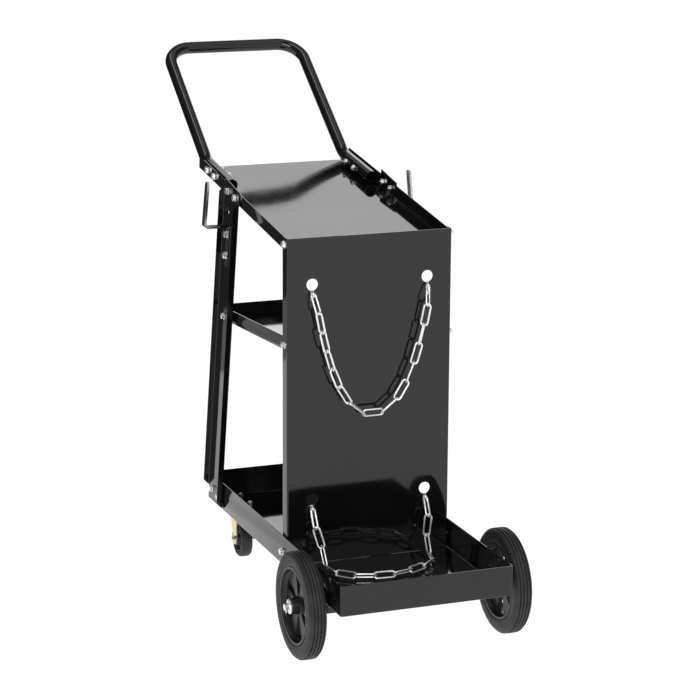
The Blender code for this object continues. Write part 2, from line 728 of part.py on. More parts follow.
def make_wheel_hardware(word, side):
    centre = (0.0, WHEEL_Y, WHEEL_RADIUS)
    hub_out = WHEEL_X + HUB_HALF + GAP
    hub_in = WHEEL_X - HUB_HALF - GAP
    rings = (
        ("wheel_washer_", hub_out, hub_out + WHEEL_WASHER_THICK, WHEEL_WASHER_RADIUS),
        ("wheel_spacer_", CARRIER_HALF + GAP, hub_in, SPACER_RADIUS),
    )
    for name, low, high, radius in rings:
        low, high = side * low, side * high
        profile = [(low, AXLE_BORE), (low, radius), (high, radius), (high, AXLE_BORE)]
        add_object(name + word, [turned("X", centre, profile, 20)], "zinc")


# ---------------------------------------------------------------- castors
def plate_bolt(centre):
    """Skin of a bolt through plate and tray: head below, shank, nut on the tray floor."""
    steps = 12
    seat = TRAY_BOTTOM - GAP - PLATE_THICK
    inside = seat + 1 * MM
    nut = TRAY_BOTTOM + SHEET + GAP
    sections = [
        (seat - HEAD_HEIGHT, hexagon(HEAD_FLAT, steps)),
        (inside, hexagon(HEAD_FLAT, steps)),
        (inside, circle(BOLT_RADIUS, steps)),
        (nut, circle(BOLT_RADIUS, steps)),
        (nut, hexagon(HEAD_FLAT, steps)),
        (nut + NUT_HEIGHT, hexagon(HEAD_FLAT, steps)),
    ]
    return [on_axis("Z", centre, z, outline) for z, outline in sections], False


def make_castor_plate(word, side):
    centre = (side * CASTOR_X, CASTOR_Y, 0.0)
    top = TRAY_BOTTOM - GAP
    corners = (-PLATE_HALF_X, PLATE_HALF_X, -PLATE_HALF_Y, PLATE_HALF_Y)
    outline = rounded_rectangle(*corners, 6 * MM, 3)
    rings = [on_axis("Z", centre, z, outline) for z in (top - PLATE_THICK, top)]
    plate = add_object("castor_plate_" + word, [(rings, False)], "gold_zinc")
    middle = top - PLATE_THICK / 2
    profile = [(RACE_LOW, RACE_RADIUS - 2 * MM), (RACE_EDGE, RACE_RADIUS), (middle, RACE_RADIUS)]
    race = turned("Z", centre, profile, 20, False)
    add_boolean(plate, add_object("castor_race_" + word, [race], "gold_zinc"), "UNION")
    bolts = [plate_bolt(place) for place in plate_bolt_centres(side)]
    add_boolean(plate, add_object("castor_plate_bolts_" + word, bolts, "gold_zinc"), "UNION")
    bore = rod("Z", centre, RACE_LOW - 5 * MM, top + 5 * MM, KINGPIN_RADIUS + GAP, 14)
    cut(plate, "castor_plate_bore_" + word, [bore])


def make_kingpin(word, side):
    centre = (side * CASTOR_X, CASTOR_Y, 0.0)
    crown_low = CROWN_TOP - FORK_THICK - GAP
    top = TRAY_BOTTOM - 2 * GAP
    head = KINGPIN_HEAD_RADIUS
    profile = [(crown_low - KINGPIN_HEAD_HEIGHT, head - 2.5 * MM), (crown_low - 2 * MM, head)]
    profile.append((crown_low, head))
    profile += [(crown_low, KINGPIN_RADIUS), (top, KINGPIN_RADIUS)]
    add_object("castor_kingpin_" + word, [turned("Z", centre, profile, 14, False)], "steel")


def fork_stations(steps=4):
    """Half of the fork from the middle of the crown down one leg: (x, z, y middle, half width)."""
    crown_z = CROWN_TOP - FORK_THICK / 2
    bend = CROWN_BEND
    crown_back = -1 * MM
    stations = [(0.0, crown_z, 0.0, CROWN_HALF), (FORK_HALF - bend, crown_z, crown_back, CROWN_HALF)]
    for k in range(1, steps + 1):
        angle = math.pi / 2 * k / steps
        x = FORK_HALF - bend + bend * math.sin(angle)
        z = crown_z - bend + bend * math.cos(angle)
        stations.append((x, z, crown_back * (1 + k / steps), CROWN_HALF - 0.5 * MM))
    stations.append((FORK_HALF, CHEEK_Z, CHEEK_BACK, CHEEK_HALF))
    stations.append((FORK_HALF, CASTOR_RADIUS + 2 * MM, -CASTOR_TRAIL, FORK_END_HALF))
    for turn in (30, 60, 80):
        angle = math.radians(turn)
        z = CASTOR_RADIUS - FORK_END_HALF * math.sin(angle)
        stations.append((FORK_HALF, z, -CASTOR_TRAIL, FORK_END_HALF * math.cos(angle)))
    return stations


def make_fork(word, side):
    half = fork_stations()
    mirrored = [(-x, z, middle, wide) for x, z, middle, wide in reversed(half[1:])]
    rings = strap_rings(mirrored + half, FORK_THICK)
    origin = (side * CASTOR_X, CASTOR_Y, 0.0)
    rings = moved(rings, Matrix.Translation(origin))
    fork = add_object("castor_fork_" + word, [(rings, False)], "gold_zinc", origin)
    crown = rod("Z", origin, CROWN_TOP - 8 * MM, CROWN_TOP + 5 * MM, KINGPIN_RADIUS + GAP, 14)
    y = CASTOR_Y - CASTOR_TRAIL
    x = side * CASTOR_X
    axle = bore_x(y, CASTOR_RADIUS, x - 20 * MM, x + 20 * MM, CASTOR_BOLT_RADIUS + GAP, 12)
    cut(fork, "castor_fork_bores_" + word, [crown, axle])


def make_castor_wheel(word, side):
    centre = (side * CASTOR_X, CASTOR_Y - CASTOR_TRAIL, CASTOR_RADIUS)
    tyre = tyre_profile(CASTOR_TYRE_HALF, CASTOR_RADIUS, CASTOR_BORE)
    add_object("castor_tyre_" + word, [turned("X", centre, tyre, 20)], "rubber", centre)
    right = [(9 * MM, CASTOR_BORE - GAP), (8 * MM, CASTOR_HUB_RADIUS + 3.5 * MM)]
    right += [(CASTOR_HUB_HALF, CASTOR_HUB_RADIUS), (CASTOR_HUB_HALF, CASTOR_BOLT_RADIUS + GAP)]
    profile = right + [(-offset, radius) for offset, radius in reversed(right)]
    add_object("castor_hub_" + word, [turned("X", centre, profile, 20)], "plastic", centre)
    face = FORK_HALF + FORK_THICK / 2 + GAP
    x = side * CASTOR_X
    rings = bolt_rings(side, centre[1], centre[2], x + side * face, x - side * face, CASTOR_BOLT_RADIUS, 1.2)
    add_object("castor_bolt_" + word, [(rings, False)], "zinc", centre)


# ---------------------------------------------------------------- chains
def link_skin(start, end, normal):
    """Long link joining two contact points, its flat side facing the normal."""
    start, end = Vector(start), Vector(end)
    along = (end - start).normalized()
    normal = (normal - along * normal.dot(along)).normalized()
    wide = along.cross(normal)
    bend = (LINK_WIDTH - WIRE) / 2
    straight = (end - start).length / 2 + WIRE / 2 - 0.35 * MM - bend
    outline = arc((straight, 0.0), bend, -math.pi / 2, math.pi / 2, 3)
    outline += [(-a, -b) for a, b in outline]
    middle = (start + end) / 2
    rings = []
    for a, b in outline:
        reach = a - straight if a > 0 else a + straight
        out = (along * reach + wide * b).normalized()
        centre = middle + along * a + wide * b
        rings.append([centre + out * c + normal * d for c, d in circle(WIRE * 0.53, 4, math.pi / 4)])
    return rings, True


def add_chain(name, joints, normals, pivot):
    """One chain body: alternate links overlap where they pull on each other."""
    links = []
    for start, end, normal in zip(joints, joints[1:], normals):
        links.append(link_skin(start, end, Vector(normal)))
    chain = add_object(name, links[0::2], "zinc", pivot)
    add_boolean(chain, add_object(name + "_even_links", links[1::2], "zinc"), "UNION")


def slot_joints(side, hang_z):
    """Contact points from the tail link behind the panel to the first hanging link."""
    x = side * KEYHOLE_X
    back = (x, SLOT_Y + PITCH * math.cos(SLOT_SLOPE), hang_z + PITCH * math.sin(SLOT_SLOPE))
    tail = (x, back[1] + 3 * MM, back[2] - PITCH)
    return [tail, back]


def chained(middle, hang_z):
    """All contact points of a chain: both tails, both slot links and the links between."""
    return slot_joints(-1, hang_z) + middle + slot_joints(1, hang_z)[::-1]


def rolled(start, end, roll):
    """Face normal of a link: 0 faces the bottle bay, a quarter turn shows its edge."""
    along = (Vector(end) - Vector(start)).normalized()
    across = along.cross(Vector((0.0, 1.0, 0.0))).normalized()
    facing = across.cross(along)
    return facing * math.cos(roll) + across * math.sin(roll)


def solve(function, low, high):
    """Root of a rising function by halving."""
    for _ in range(60):
        middle = (low + high) / 2
        if function(middle) < 0:
            low = middle
        else:
            high = middle
    return (low + high) / 2


def hanging_joints(hang_z):
    """Catenary from slot to slot; its end links lean out to the plane of the others."""
    end_drop = math.sqrt(PITCH ** 2 - (CHAIN_Y - SLOT_Y) ** 2)
    lengths = [end_drop] + [PITCH] * (LINKS - 2) + [end_drop]
    half_length = sum(lengths) / 2
    a = solve(lambda v: v * math.asinh(half_length / v) - KEYHOLE_X, 5 * MM, 400 * MM)
    top = math.hypot(a, half_length)
    joints = []
    for k in range(LINKS + 1):
        s = sum(lengths[:k]) - half_length
        y = SLOT_Y if k in (0, LINKS) else CHAIN_Y
        joints.append((a * math.asinh(s / a), y, hang_z - top + math.hypot(a, s)))
    return joints


def resting_route(hang_z, steps=12):
    """Way of the lower chain: down to the tray floor, round half an ellipse on it and back up."""
    ends = [(-KEYHOLE_X, SLOT_Y, hang_z), (-FALL_X, FALL_Y, hang_z - FALL_DROP)]
    loop = []
    for k in range(steps + 1):
        turn = math.pi * k / steps
        y = LOOP_Y - LOOP_SKEW * math.cos(turn) - LOOP_REACH * math.sin(turn)
        loop.append((-LOOP_HALF * math.cos(turn), y, CHAIN_FLOOR))
    back = [(-x, y, z) for x, y, z in reversed(ends)]
    return [Vector(point) for point in ends + loop + back]


def spaced(route, count):
    """Points at equal steps along a polyline."""
    lengths = [(b - a).length for a, b in zip(route, route[1:])]
    points = []
    for k in range(count + 1):
        left = sum(lengths) * k / count
        piece = 0
        while piece < len(lengths) - 1 and left > lengths[piece]:
            left -= lengths[piece]
            piece += 1
        points.append(route[piece].lerp(route[piece + 1], min(left / lengths[piece], 1.0)))
    return points


def settled(points, floor):
    """Moves the points to one pitch apart and above the floor; both ends stay."""
    last = len(points) - 1
    for _ in range(4000):
        for k in range(last):
            gap = points[k + 1] - points[k]
            fix = gap * ((gap.length - PITCH) / gap.length / 2)
            if 0 < k:
                points[k] += fix
            if k + 1 < last:
                points[k + 1] -= fix
        for point in points[1:-1]:
            point.z = max(point.z, floor)
    return points


def make_upper_chain():
    hang_z = KEYHOLE_ZS["upper"] - HANG_DROP
    joints = chained(hanging_joints(hang_z), hang_z)
    normals = [rolled(a, b, math.radians(roll)) for a, b, roll in zip(joints[2:], joints[3:], UPPER_ROLLS)]
    add_chain("upper_chain", joints, end_normals(normals), (0.0, 0.0, hang_z))


def end_normals(normals):
    """Adds the tail and slot links of both ends."""
    tail, slot = Vector((0.0, 1.0, 0.0)), Vector((1.0, 0.0, 0.0))
    return [tail, slot] + normals + [slot, tail]


def make_lower_chain():
    hang_z = KEYHOLE_ZS["lower"] - HANG_DROP
    points = settled(spaced(resting_route(hang_z), LOWER_LINKS), CHAIN_FLOOR)
    joints = chained(points, hang_z)
    add_chain("lower_chain", joints, end_normals(resting_normals(points)), (0.0, 0.0, hang_z))


def resting_normals(points):
    """Alternate quarter turns; links on the floor lie at 45 degrees to it."""
    normals = []
    last = len(points) - 2
    for k, (start, end) in enumerate(zip(points, points[1:])):
        along = (end - start).normalized()
        if abs(along.z) > 0.7:
            roll = (EDGE_ROLL, FACE_ROLL)[min(k, last - k) % 2] if 0 < k < last else END_ROLL
            normals.append(rolled(start, end, math.radians(-roll if along.z > 0 else roll)))
            continue
        across = along.cross(Vector((0.0, 0.0, 1.0))).normalized()
        normals.append(across + across.cross(along) * (-1 if k % 2 else 1))
    return normals


# ---------------------------------------------------------------- assembly
def make_cart():
    clear_scene()
    make_base_tray()
    make_middle_shelf()
    make_top_shelf()
    make_bottle_panel()
    make_handle()
    make_axle_carrier()
    make_axle()
    for word, side in SIDES:
        make_post(word, side)
        make_hook(word, side)
        make_wheel(word, side)
        make_wheel_hardware(word, side)
        make_split_pin(word, side)
        make_castor_plate(word, side)
        make_kingpin(word, side)
        make_fork(word, side)
        make_castor_wheel(word, side)
    make_all_bolts()
    make_upper_chain()
    make_lower_chain()


make_cart()
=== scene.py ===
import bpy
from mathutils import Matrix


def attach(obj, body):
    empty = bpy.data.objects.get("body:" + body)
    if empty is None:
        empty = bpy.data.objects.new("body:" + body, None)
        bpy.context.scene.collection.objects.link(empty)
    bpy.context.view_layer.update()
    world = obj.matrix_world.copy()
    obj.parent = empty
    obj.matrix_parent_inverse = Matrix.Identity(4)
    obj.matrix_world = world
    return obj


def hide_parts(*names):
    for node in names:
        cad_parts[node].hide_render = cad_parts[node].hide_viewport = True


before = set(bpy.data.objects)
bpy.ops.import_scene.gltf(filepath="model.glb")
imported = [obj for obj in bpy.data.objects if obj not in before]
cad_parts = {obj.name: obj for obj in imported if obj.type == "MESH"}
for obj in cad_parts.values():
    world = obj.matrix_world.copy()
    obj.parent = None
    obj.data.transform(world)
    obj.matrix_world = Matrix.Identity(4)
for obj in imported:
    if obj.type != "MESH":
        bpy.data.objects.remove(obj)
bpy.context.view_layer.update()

# Looks of a welding cart: black gloss powder coat on folded sheet, zinc fasteners and chains,
# rubber tyres. Every piece is drawn in the design frame of the solids: metres, Y = 0 on the front
# face of the bottle panel. mesh_object then moves it back by CENTRE_Y, into the shared frame.
# Names ending in HALF are half sizes, and words such as FRONT, LOW or TOP name a coordinate.

import math
import random

import bmesh
import bpy
from mathutils import Matrix, Vector

random.seed(7)

MM = 0.001
SIDES = (("left", -1), ("right", 1))
CENTRE_Y = 231.2 * MM

SHEET = 1.5 * MM
FOLD = 1.5 * MM
GAP = 0.3 * MM
EDGE = 0.22 * MM
CUT_REACH = 6.0 * MM

TRAY_HALF, TRAY_FRONT, TRAY_BACK = 149.0 * MM, -261.0 * MM, 413.0 * MM
TRAY_BOTTOM, TRAY_HEIGHT = 97.4 * MM, 51.4 * MM

PANEL_HALF, PANEL_TOP, PANEL_FLANGE = 145.0 * MM, 655.0 * MM, 22.5 * MM
KEYHOLE_X = 101.5 * MM
KEYHOLE_ZS = {"upper": 577.0 * MM, "lower": 210.4 * MM}
KEYHOLE_RADIUS, SLOT_HALF, SLOT_DROP = 10.0 * MM, 3.0 * MM, 33.0 * MM

SHELF_HALF = 143.2 * MM
MIDDLE_Z, MIDDLE_TILT = 466.6 * MM, math.radians(-3.48)
MIDDLE_START, MIDDLE_END, MIDDLE_FLANGE = 1.9 * MM, 367.6 * MM, 24.0 * MM
TOP_Z, TOP_TILT = 629.2 * MM, math.radians(7.82)
TOP_START_Y, TOP_END, TOP_FLANGE = 3.4 * MM, 479.0 * MM, 23.1 * MM
TOP_SAG, SAG_FLATNESS = 2.6 * MM, 0.22

POST_HALF, POST_FLANGE, POST_BOTTOM = 40.0 * MM, 11.5 * MM, 101.4 * MM
POST_AXIS_Y, POST_AXIS_Z, POST_LEAN = 372.4 * MM, 110.0 * MM, -0.157
POST_LOW_X, POST_LOW_Z = 149.3 * MM, 149.0 * MM
POST_HIGH_X, POST_HIGH_Z = 143.5 * MM, 703.0 * MM
POST_TOP_Y, POST_TOP_Z, POST_TOP_SLOPE = 317.0 * MM, 703.0 * MM, 0.183
POST_NOTCH = 3.2 * MM
SPARE_HOLE, SPARE_RADIUS = (301.0 * MM, 646.0 * MM), 3.5 * MM

TUBE_RADIUS, TUBE_WALL = 11.0 * MM, 1.5 * MM
LEG_X, LEG_START_Y, LEG_Z = 130.4 * MM, 328.0 * MM, 642.3 * MM
BEND_Y, BAR_Y, BAR_Z = 467.1 * MM, 712.4 * MM, 879.7 * MM
BEND_RADIUS, CORNER_RADIUS = 70.0 * MM, 45.0 * MM

HOOK_WIDTH, HOOK_THICK = 15.0 * MM, 4.0 * MM
HOOK_LOW, HOOK_ARM_Z, HOOK_REACH = 551.0 * MM, 624.0 * MM, 193.0 * MM
HOOK_TIP_X, HOOK_TIP_Z, HOOK_BEND = 186.0 * MM, 703.0 * MM, 5.0 * MM

HOLE_RADIUS = 3.3 * MM
BOLT_RADIUS, HEAD_FLAT, HEAD_HEIGHT = 2.9 * MM, 5.0 * MM, 4.0 * MM
WASHER_RADIUS, WASHER_THICK, NUT_HEIGHT = 6.4 * MM, 1.4 * MM, 5.0 * MM

WHEEL_X, WHEEL_Y, WHEEL_RADIUS = 178.5 * MM, -159.7 * MM, 88.1 * MM
RIM_HALF, RIM_RADIUS, RIM_BORE = 14.0 * MM, 63.7 * MM, 59.5 * MM
TREAD_HALF, TREAD_FALL = 10.0 * MM, 0.5 * MM
GROOVE_MIDDLES, GROOVE_DEPTH = (8.2 * MM, 2.9 * MM), 2.3 * MM
GROOVE_MOUTH_HALF, GROOVE_FLOOR_HALF = 1.35 * MM, 0.7 * MM
WEB_HALF, HUB_RADIUS, HUB_HALF = 4.0 * MM, 13.5 * MM, 18.0 * MM
AXLE_RADIUS, AXLE_HALF, AXLE_BORE = 6.0 * MM, 207.0 * MM, 6.3 * MM
WHEEL_WASHER_RADIUS, WHEEL_WASHER_THICK = 12.0 * MM, 2.0 * MM
SPACER_RADIUS, BROKEN_EDGE = 9.0 * MM, 0.2 * MM
PIN_X, PIN_RADIUS, PIN_TURN = 202.0 * MM, 1.6 * MM, math.radians(35.0)
CARRIER_HALF, CARRIER_HALF_Y, CARRIER_LOW = 141.0 * MM, 19.0 * MM, 75.0 * MM
WINDOWS, WINDOW_TURN = 6, math.radians(29.0)

CASTOR_X, CASTOR_Y, CASTOR_TRAIL = 104.0 * MM, 376.0 * MM, 18.0 * MM
CASTOR_RADIUS = 31.5 * MM
PLATE_HALF_X, PLATE_HALF_Y, PLATE_THICK = 23.0 * MM, 36.0 * MM, 2.5 * MM
PLATE_BOLT_X, PLATE_BOLT_Y, PLATE_BOLT_SCALE = 11.5 * MM, 27.0 * MM, 0.9
RACE_RADIUS, RACE_LOW, CROWN_TOP = 17.0 * MM, 89.0 * MM, 88.7 * MM
FORK_THICK, FORK_HALF, FORK_BEND = 2.5 * MM, 12.75 * MM, 5.0 * MM
FORK_CROWN_WIDE, FORK_END_WIDE = 19.0 * MM, 9.0 * MM
SHOULDER_Y, SHOULDER_Z, SHOULDER_WIDE = -5.0 * MM, 72.0 * MM, 16.5 * MM
KINGPIN_RADIUS, CASTOR_BOLT_RADIUS = 5.0 * MM, 4.0 * MM

WIRE = 3.8 * MM
PITCH = 33.2 * MM
LINK_WIDTH = 15.0 * MM
SLOT_Y = -3.5 * MM
CHAIN_Y = -16.5 * MM
SLOT_SLOPE = math.radians(-30.0)
HANG_DROP = 15.0 * MM
LINKS = 15
LOWER_LINKS = 14
CHAIN_FLOOR = TRAY_BOTTOM + SHEET + 8.2 * MM
FALL_X, FALL_Y, FALL_DROP = 99.5 * MM, -17.0 * MM, 31.0 * MM
LOOP_HALF, LOOP_Y, LOOP_SKEW, LOOP_REACH = 94.0 * MM, -47.0 * MM, 9.0 * MM, 71.0 * MM
UPPER_ROLLS = (-33, 57, -20, 60, -15, 45, 100, 10, 70, -15, 68, -15, 55, -35, 38)
END_ROLL, FACE_ROLL, EDGE_ROLL = -35.0, 15.0, 80.0


# ---------------------------------------------------------------- camera
CAMERA_PLACE = Vector((-1.4701, -3.7308 - CENTRE_Y, 1.4510))
CAMERA_AZIMUTH = math.radians(-21.0401)
CAMERA_DOWN = math.radians(13.8994)
CAMERA_ROLL = math.radians(0.3357)
CAMERA_LENS, CAMERA_SENSOR = 128.278, 36.0


def make_camera():
    turn, down = CAMERA_AZIMUTH, CAMERA_DOWN
    ahead = Vector((-math.sin(turn) * math.cos(down), math.cos(turn) * math.cos(down), -math.sin(down)))
    across = Vector((math.cos(turn), math.sin(turn), 0.0))
    up = across.cross(ahead)
    right = across * math.cos(CAMERA_ROLL) + up * math.sin(CAMERA_ROLL)
    up = up * math.cos(CAMERA_ROLL) - across * math.sin(CAMERA_ROLL)
    data = bpy.data.cameras.new("camera")
    data.lens = CAMERA_LENS
    data.sensor_width = CAMERA_SENSOR
    data.clip_end = 100.0
    camera = bpy.data.objects.new("camera", data)
    rows = Matrix((right, up, -ahead)).transposed().to_4x4()
    camera.matrix_world = Matrix.Translation(CAMERA_PLACE) @ rows
    bpy.context.scene.collection.objects.link(camera)
    bpy.context.scene.camera = camera


make_camera()


# ---------------------------------------------------------------- materials
def new_material(name, **values):
    """Principled material; underscores in the socket names stand for spaces."""
    material = bpy.data.materials.new(name)
    material.use_nodes = True
    shader = material.node_tree.nodes["Principled BSDF"]
    set_inputs(shader, values)
    return material, material.node_tree, shader


def set_inputs(node, values):
    for socket, value in values.items():
        node.inputs[socket.replace("_", " ")].default_value = value


def add_node(tree, kind, **values):
    node = tree.nodes.new(kind)
    set_inputs(node, values)
    return node


def noise(tree, scale, detail=3.0, rough=0.5):
    coords = add_node(tree, "ShaderNodeTexCoord")
    texture = add_node(tree, "ShaderNodeTexNoise", Scale=scale, Detail=detail, Roughness=rough)
    tree.links.new(coords.outputs["Object"], texture.inputs["Vector"])
    return texture.outputs["Fac"]


def spread(tree, factor, low, high):
    """Maps a noise factor to a range of values."""
    node = add_node(tree, "ShaderNodeMapRange", From_Min=0.3, From_Max=0.7, To_Min=low, To_Max=high)
    tree.links.new(factor, node.inputs["Value"])
    return node.outputs["Result"]


def tint(tree, factor, first, second):
    """Maps a noise factor to a range of colours."""
    ramp = add_node(tree, "ShaderNodeValToRGB")
    for element, position, colour in zip(ramp.color_ramp.elements, (0.35, 0.65), (first, second)):
        element.position = position
        element.color = (*colour, 1.0)
    tree.links.new(factor, ramp.inputs["Fac"])
    return ramp.outputs["Color"]


def bump(tree, shader, heights):
    """Chains (factor, depth in metres) bumps onto the shader."""
    last = None
    for factor, depth in heights:
        node = add_node(tree, "ShaderNodeBump", Strength=1.0, Distance=depth)
        tree.links.new(factor, node.inputs["Height"])
        if last is not None:
            tree.links.new(last, node.inputs["Normal"])
        last = node.outputs["Normal"]
    tree.links.new(last, shader.inputs["Normal"])


def surface(name, tones, roughness, bumps, **values):
    """Material whose two tones, roughness range and bump depths each follow a noise of their own."""
    material, tree, shader = new_material(name, **values)
    grain, first, second = tones
    tree.links.new(tint(tree, noise(tree, *grain), first, second), shader.inputs["Base Color"])
    grain, low, high = roughness
    tree.links.new(spread(tree, noise(tree, *grain), low, high), shader.inputs["Roughness"])
    bump(tree, shader, [(noise(tree, *grain), depth) for grain, depth in bumps])
    return material


def plated(name, first, second, low, high, depth=0.000004):
    """Plated or bare steel with a fine grain."""
    tones, roughness = ((90.0, 4.0), first, second), ((240.0, 4.0, 0.6), low, high)
    return surface(name, tones, roughness, [((700.0, 3.0, 0.6), depth)], Metallic=1.0)


def powder_coat():
    """Gloss black, with long waves from the sheet, orange peel and a fine grain."""
    tones = ((9.0,), (0.0042, 0.0042, 0.0044), (0.0060, 0.0060, 0.0062))
    bumps = [((3.1, 0.0), 0.0016), ((260.0, 1.0), 0.000012), ((1500.0, 1.0), 0.0000015)]
    return surface("black_powder_coat", tones, ((14.0, 4.0), 0.045, 0.080), bumps, IOR=1.52)


def rubber():
    tones = ((60.0, 5.0), (0.026, 0.026, 0.027), (0.040, 0.040, 0.041))
    bumps = [((900.0, 3.0), 0.00004)]
    return surface("tyre_rubber", tones, ((120.0, 4.0), 0.48, 0.66), bumps, Specular_IOR_Level=0.32)


def plastic():
    tones = ((40.0,), (0.012, 0.012, 0.013), (0.018, 0.018, 0.019))
    bumps = [((1300.0, 2.0), 0.000015)]
    return surface("moulded_black_plastic", tones, ((200.0, 3.0), 0.30, 0.42), bumps, Specular_IOR_Level=0.36)


MATERIALS = {
    "black_coat": powder_coat(),
    "zinc": plated("bright_zinc", (0.93, 0.93, 0.92), (0.98, 0.98, 0.97), 0.30, 0.40, 0.000002),
    "yellow_zinc": plated("yellow_zinc", (0.78, 0.58, 0.28), (0.86, 0.72, 0.46), 0.20, 0.34),
    "steel": plated("rivet_steel", (0.42, 0.42, 0.41), (0.56, 0.56, 0.55), 0.24, 0.40),
    # Zinc of the cable hooks: smoother than the bolts' zinc, and a darker copy of its colour. The darker
    # colour is painted shade for the dark surroundings the hooks reflect.
    "zinc_with_painted_shade": plated("darker_zinc_painted_shade", (0.50, 0.50, 0.50), (0.60, 0.60, 0.60), 0.09, 0.15, 0.0000015),
    "rubber": rubber(),
    "black_plastic": plastic(),
}


# ---------------------------------------------------------------- meshes
def skin(bm, rings, closed=False):
    """Joins rings of points with quads: a closed loop of rings, or a run with two end caps."""
    made = [[bm.verts.new(point) for point in ring] for ring in rings]
    pairs = list(zip(made, made[1:]))
    if closed:
        pairs.append((made[-1], made[0]))
    else:
        bm.faces.new(made[0])
        bm.faces.new(made[-1])
    count = len(made[0])
    for low, high in pairs:
        for i in range(count):
            j = (i + 1) % count
            bm.faces.new((low[i], low[j], high[j], high[i]))


def mesh_object(name, skins):
    """One object from (rings, closed) skins, moved to the shared frame."""
    bm = bmesh.new()
    for rings, closed in skins:
        skin(bm, rings, closed)
    bmesh.ops.recalc_face_normals(bm, faces=bm.faces)
    bmesh.ops.translate(bm, verts=bm.verts, vec=(0.0, -CENTRE_Y, 0.0))
    mesh = bpy.data.meshes.new(name)
    bm.to_mesh(mesh)
    bm.free()
    item = bpy.data.objects.new(name, mesh)
    bpy.context.scene.collection.objects.link(item)
    return item


def applied(item, others, operation):
    """Runs Booleans with the other skins and keeps the result as the object's own mesh."""
    tools = []
    for number, skins in enumerate(others):
        tool = mesh_object(f"{item.name}_tool_{number}", skins)
        modifier = item.modifiers.new("tool", "BOOLEAN")
        modifier.operation = operation
        modifier.solver = "EXACT"
        modifier.object = tool
        tools.append(tool)
    graph = bpy.context.evaluated_depsgraph_get()
    mesh = bpy.data.meshes.new_from_object(item.evaluated_get(graph))
    item.modifiers.clear()
    old = item.data
    item.data = mesh
    bpy.data.meshes.remove(old)
    for tool in tools:
        data = tool.data
        bpy.data.objects.remove(tool)
        bpy.data.meshes.remove(data)


def finish(item, slot, body, nodes=(), edge=EDGE, angle=40.0, segments=2, look=None):
    """Smooth shading, a small edge rounding, the material, and the body the piece rides on."""
    for face in item.data.polygons:
        face.use_smooth = True
    item.data.set_sharp_from_angle(angle=math.radians(angle))
    if edge:
        bevel = item.modifiers.new("edge", "BEVEL")
        bevel.width = edge
        bevel.segments = segments
        bevel.limit_method = "ANGLE"
        bevel.angle_limit = math.radians(angle)
        bevel.harden_normals = True
    item.data.materials.clear()
    item.data.materials.append(MATERIALS[look or slot])
    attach(item, body)
    if nodes:
        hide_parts(*nodes)
    return item


def build(name, skins, slot, body, nodes=(), cuts=None, joins=None, **kinds):
    """One visible piece: its skins, what is joined on and cut out, then its finish."""
    item = mesh_object(name, skins)
    if joins:
        applied(item, joins, "UNION")
    if cuts:
        applied(item, [cuts], "DIFFERENCE")
    return finish(item, slot, body, nodes, **kinds)


# ---------------------------------------------------------------- outlines
def on_axis(axis, centre, offset, outline):
    """Places a flat outline across an axis, at an offset along it from the centre."""
    x, y, z = centre
    if axis == "X":
        return [(x + offset, y + a, z + b) for a, b in outline]
    if axis == "Y":
        return [(x + a, y + offset, z + b) for a, b in outline]
    return [(x + a, y + b, z + offset) for a, b in outline]


def circle(radius, steps, turn=0.0):
    angles = [turn + 2 * math.pi * k / steps for k in range(steps)]
    return [(radius * math.cos(a), radius * math.sin(a)) for a in angles]


def hexagon(flat, steps, turn=0.0):
    """Hexagon of half width flat, with points between its corners."""
    points = []
    for k in range(steps):
        angle = 2 * math.pi * k / steps
        reach = flat / math.cos((angle % (math.pi / 3)) - math.pi / 6)
        points.append((reach * math.cos(angle + turn), reach * math.sin(angle + turn)))
    return points


def arc(centre, radius, start, end, steps):
    points = []
    for k in range(steps + 1):
        angle = start + (end - start) * k / steps
        points.append((centre[0] + radius * math.cos(angle), centre[1] + radius * math.sin(angle)))
    return points


def mirrored(half):
    """A half section and its mirror image, as one closed loop."""
    return half + [(-offset, radius) for offset, radius in reversed(half)]


def rod(axis, centre, low, high, radius, steps=32):
    outline = circle(radius, steps)
    return [on_axis(axis, centre, offset, outline) for offset in (low, high)], False


def turned(axis, centre, profile, steps, closed=True):
    return [on_axis(axis, centre, offset, circle(radius, steps)) for offset, radius in profile], closed


def u_outline(half, height, steps=8):
    """Section of a folded channel: a floor with two flanges."""
    outer = SHEET + FOLD
    right_out = arc((half - outer, outer), outer, -math.pi / 2, 0.0, steps)
    right_in = arc((half - outer, outer), FOLD, 0.0, -math.pi / 2, steps)
    right = right_out + [(half, height), (half - SHEET, height)] + right_in
    return right + [(-a, b) for a, b in reversed(right)]


def rounded_rectangle(x0, x1, y0, y1, radius, steps=5):
    corners = ((x1, y1, 0), (x0, y1, 1), (x0, y0, 2), (x1, y0, 3))
    points = []
    for x, y, quarter in corners:
        cx = x - radius if x == x1 else x + radius
        cy = y - radius if y == y1 else y + radius
        start = quarter * math.pi / 2
        points += arc((cx, cy), radius, start, start + math.pi / 2, steps)
    return points


def pan_rings(half, y0, y1, height, steps=7):
    """Tray with four walls, as rings from the middle of its underside round to its floor."""
    outer = SHEET + FOLD
    levels = []
    for k in range(steps + 1):
        angle = math.pi / 2 * k / steps
        levels.append((outer * (1 - math.sin(angle)), outer * (1 - math.cos(angle))))
    levels += [(0.0, height), (SHEET, height)]
    for k in range(steps, -1, -1):
        angle = math.pi / 2 * k / steps
        levels.append((SHEET + FOLD * (1 - math.sin(angle)), SHEET + FOLD * (1 - math.cos(angle))))
    rings = []
    for inset, z in levels:
        radius = max(outer - inset, 0.35 * MM)
        box = rounded_rectangle(-half + inset, half - inset, y0 + inset, y1 - inset, radius)
        rings.append([(x, y, z) for x, y in box])
    return rings


def moved(rings, matrix):
    return [[matrix @ Vector(point) for point in ring] for ring in rings]


def bore_x(y, z, x0, x1, radius=HOLE_RADIUS, steps=24):
    return rod("X", (0.0, y, z), x0, x1, radius, steps)


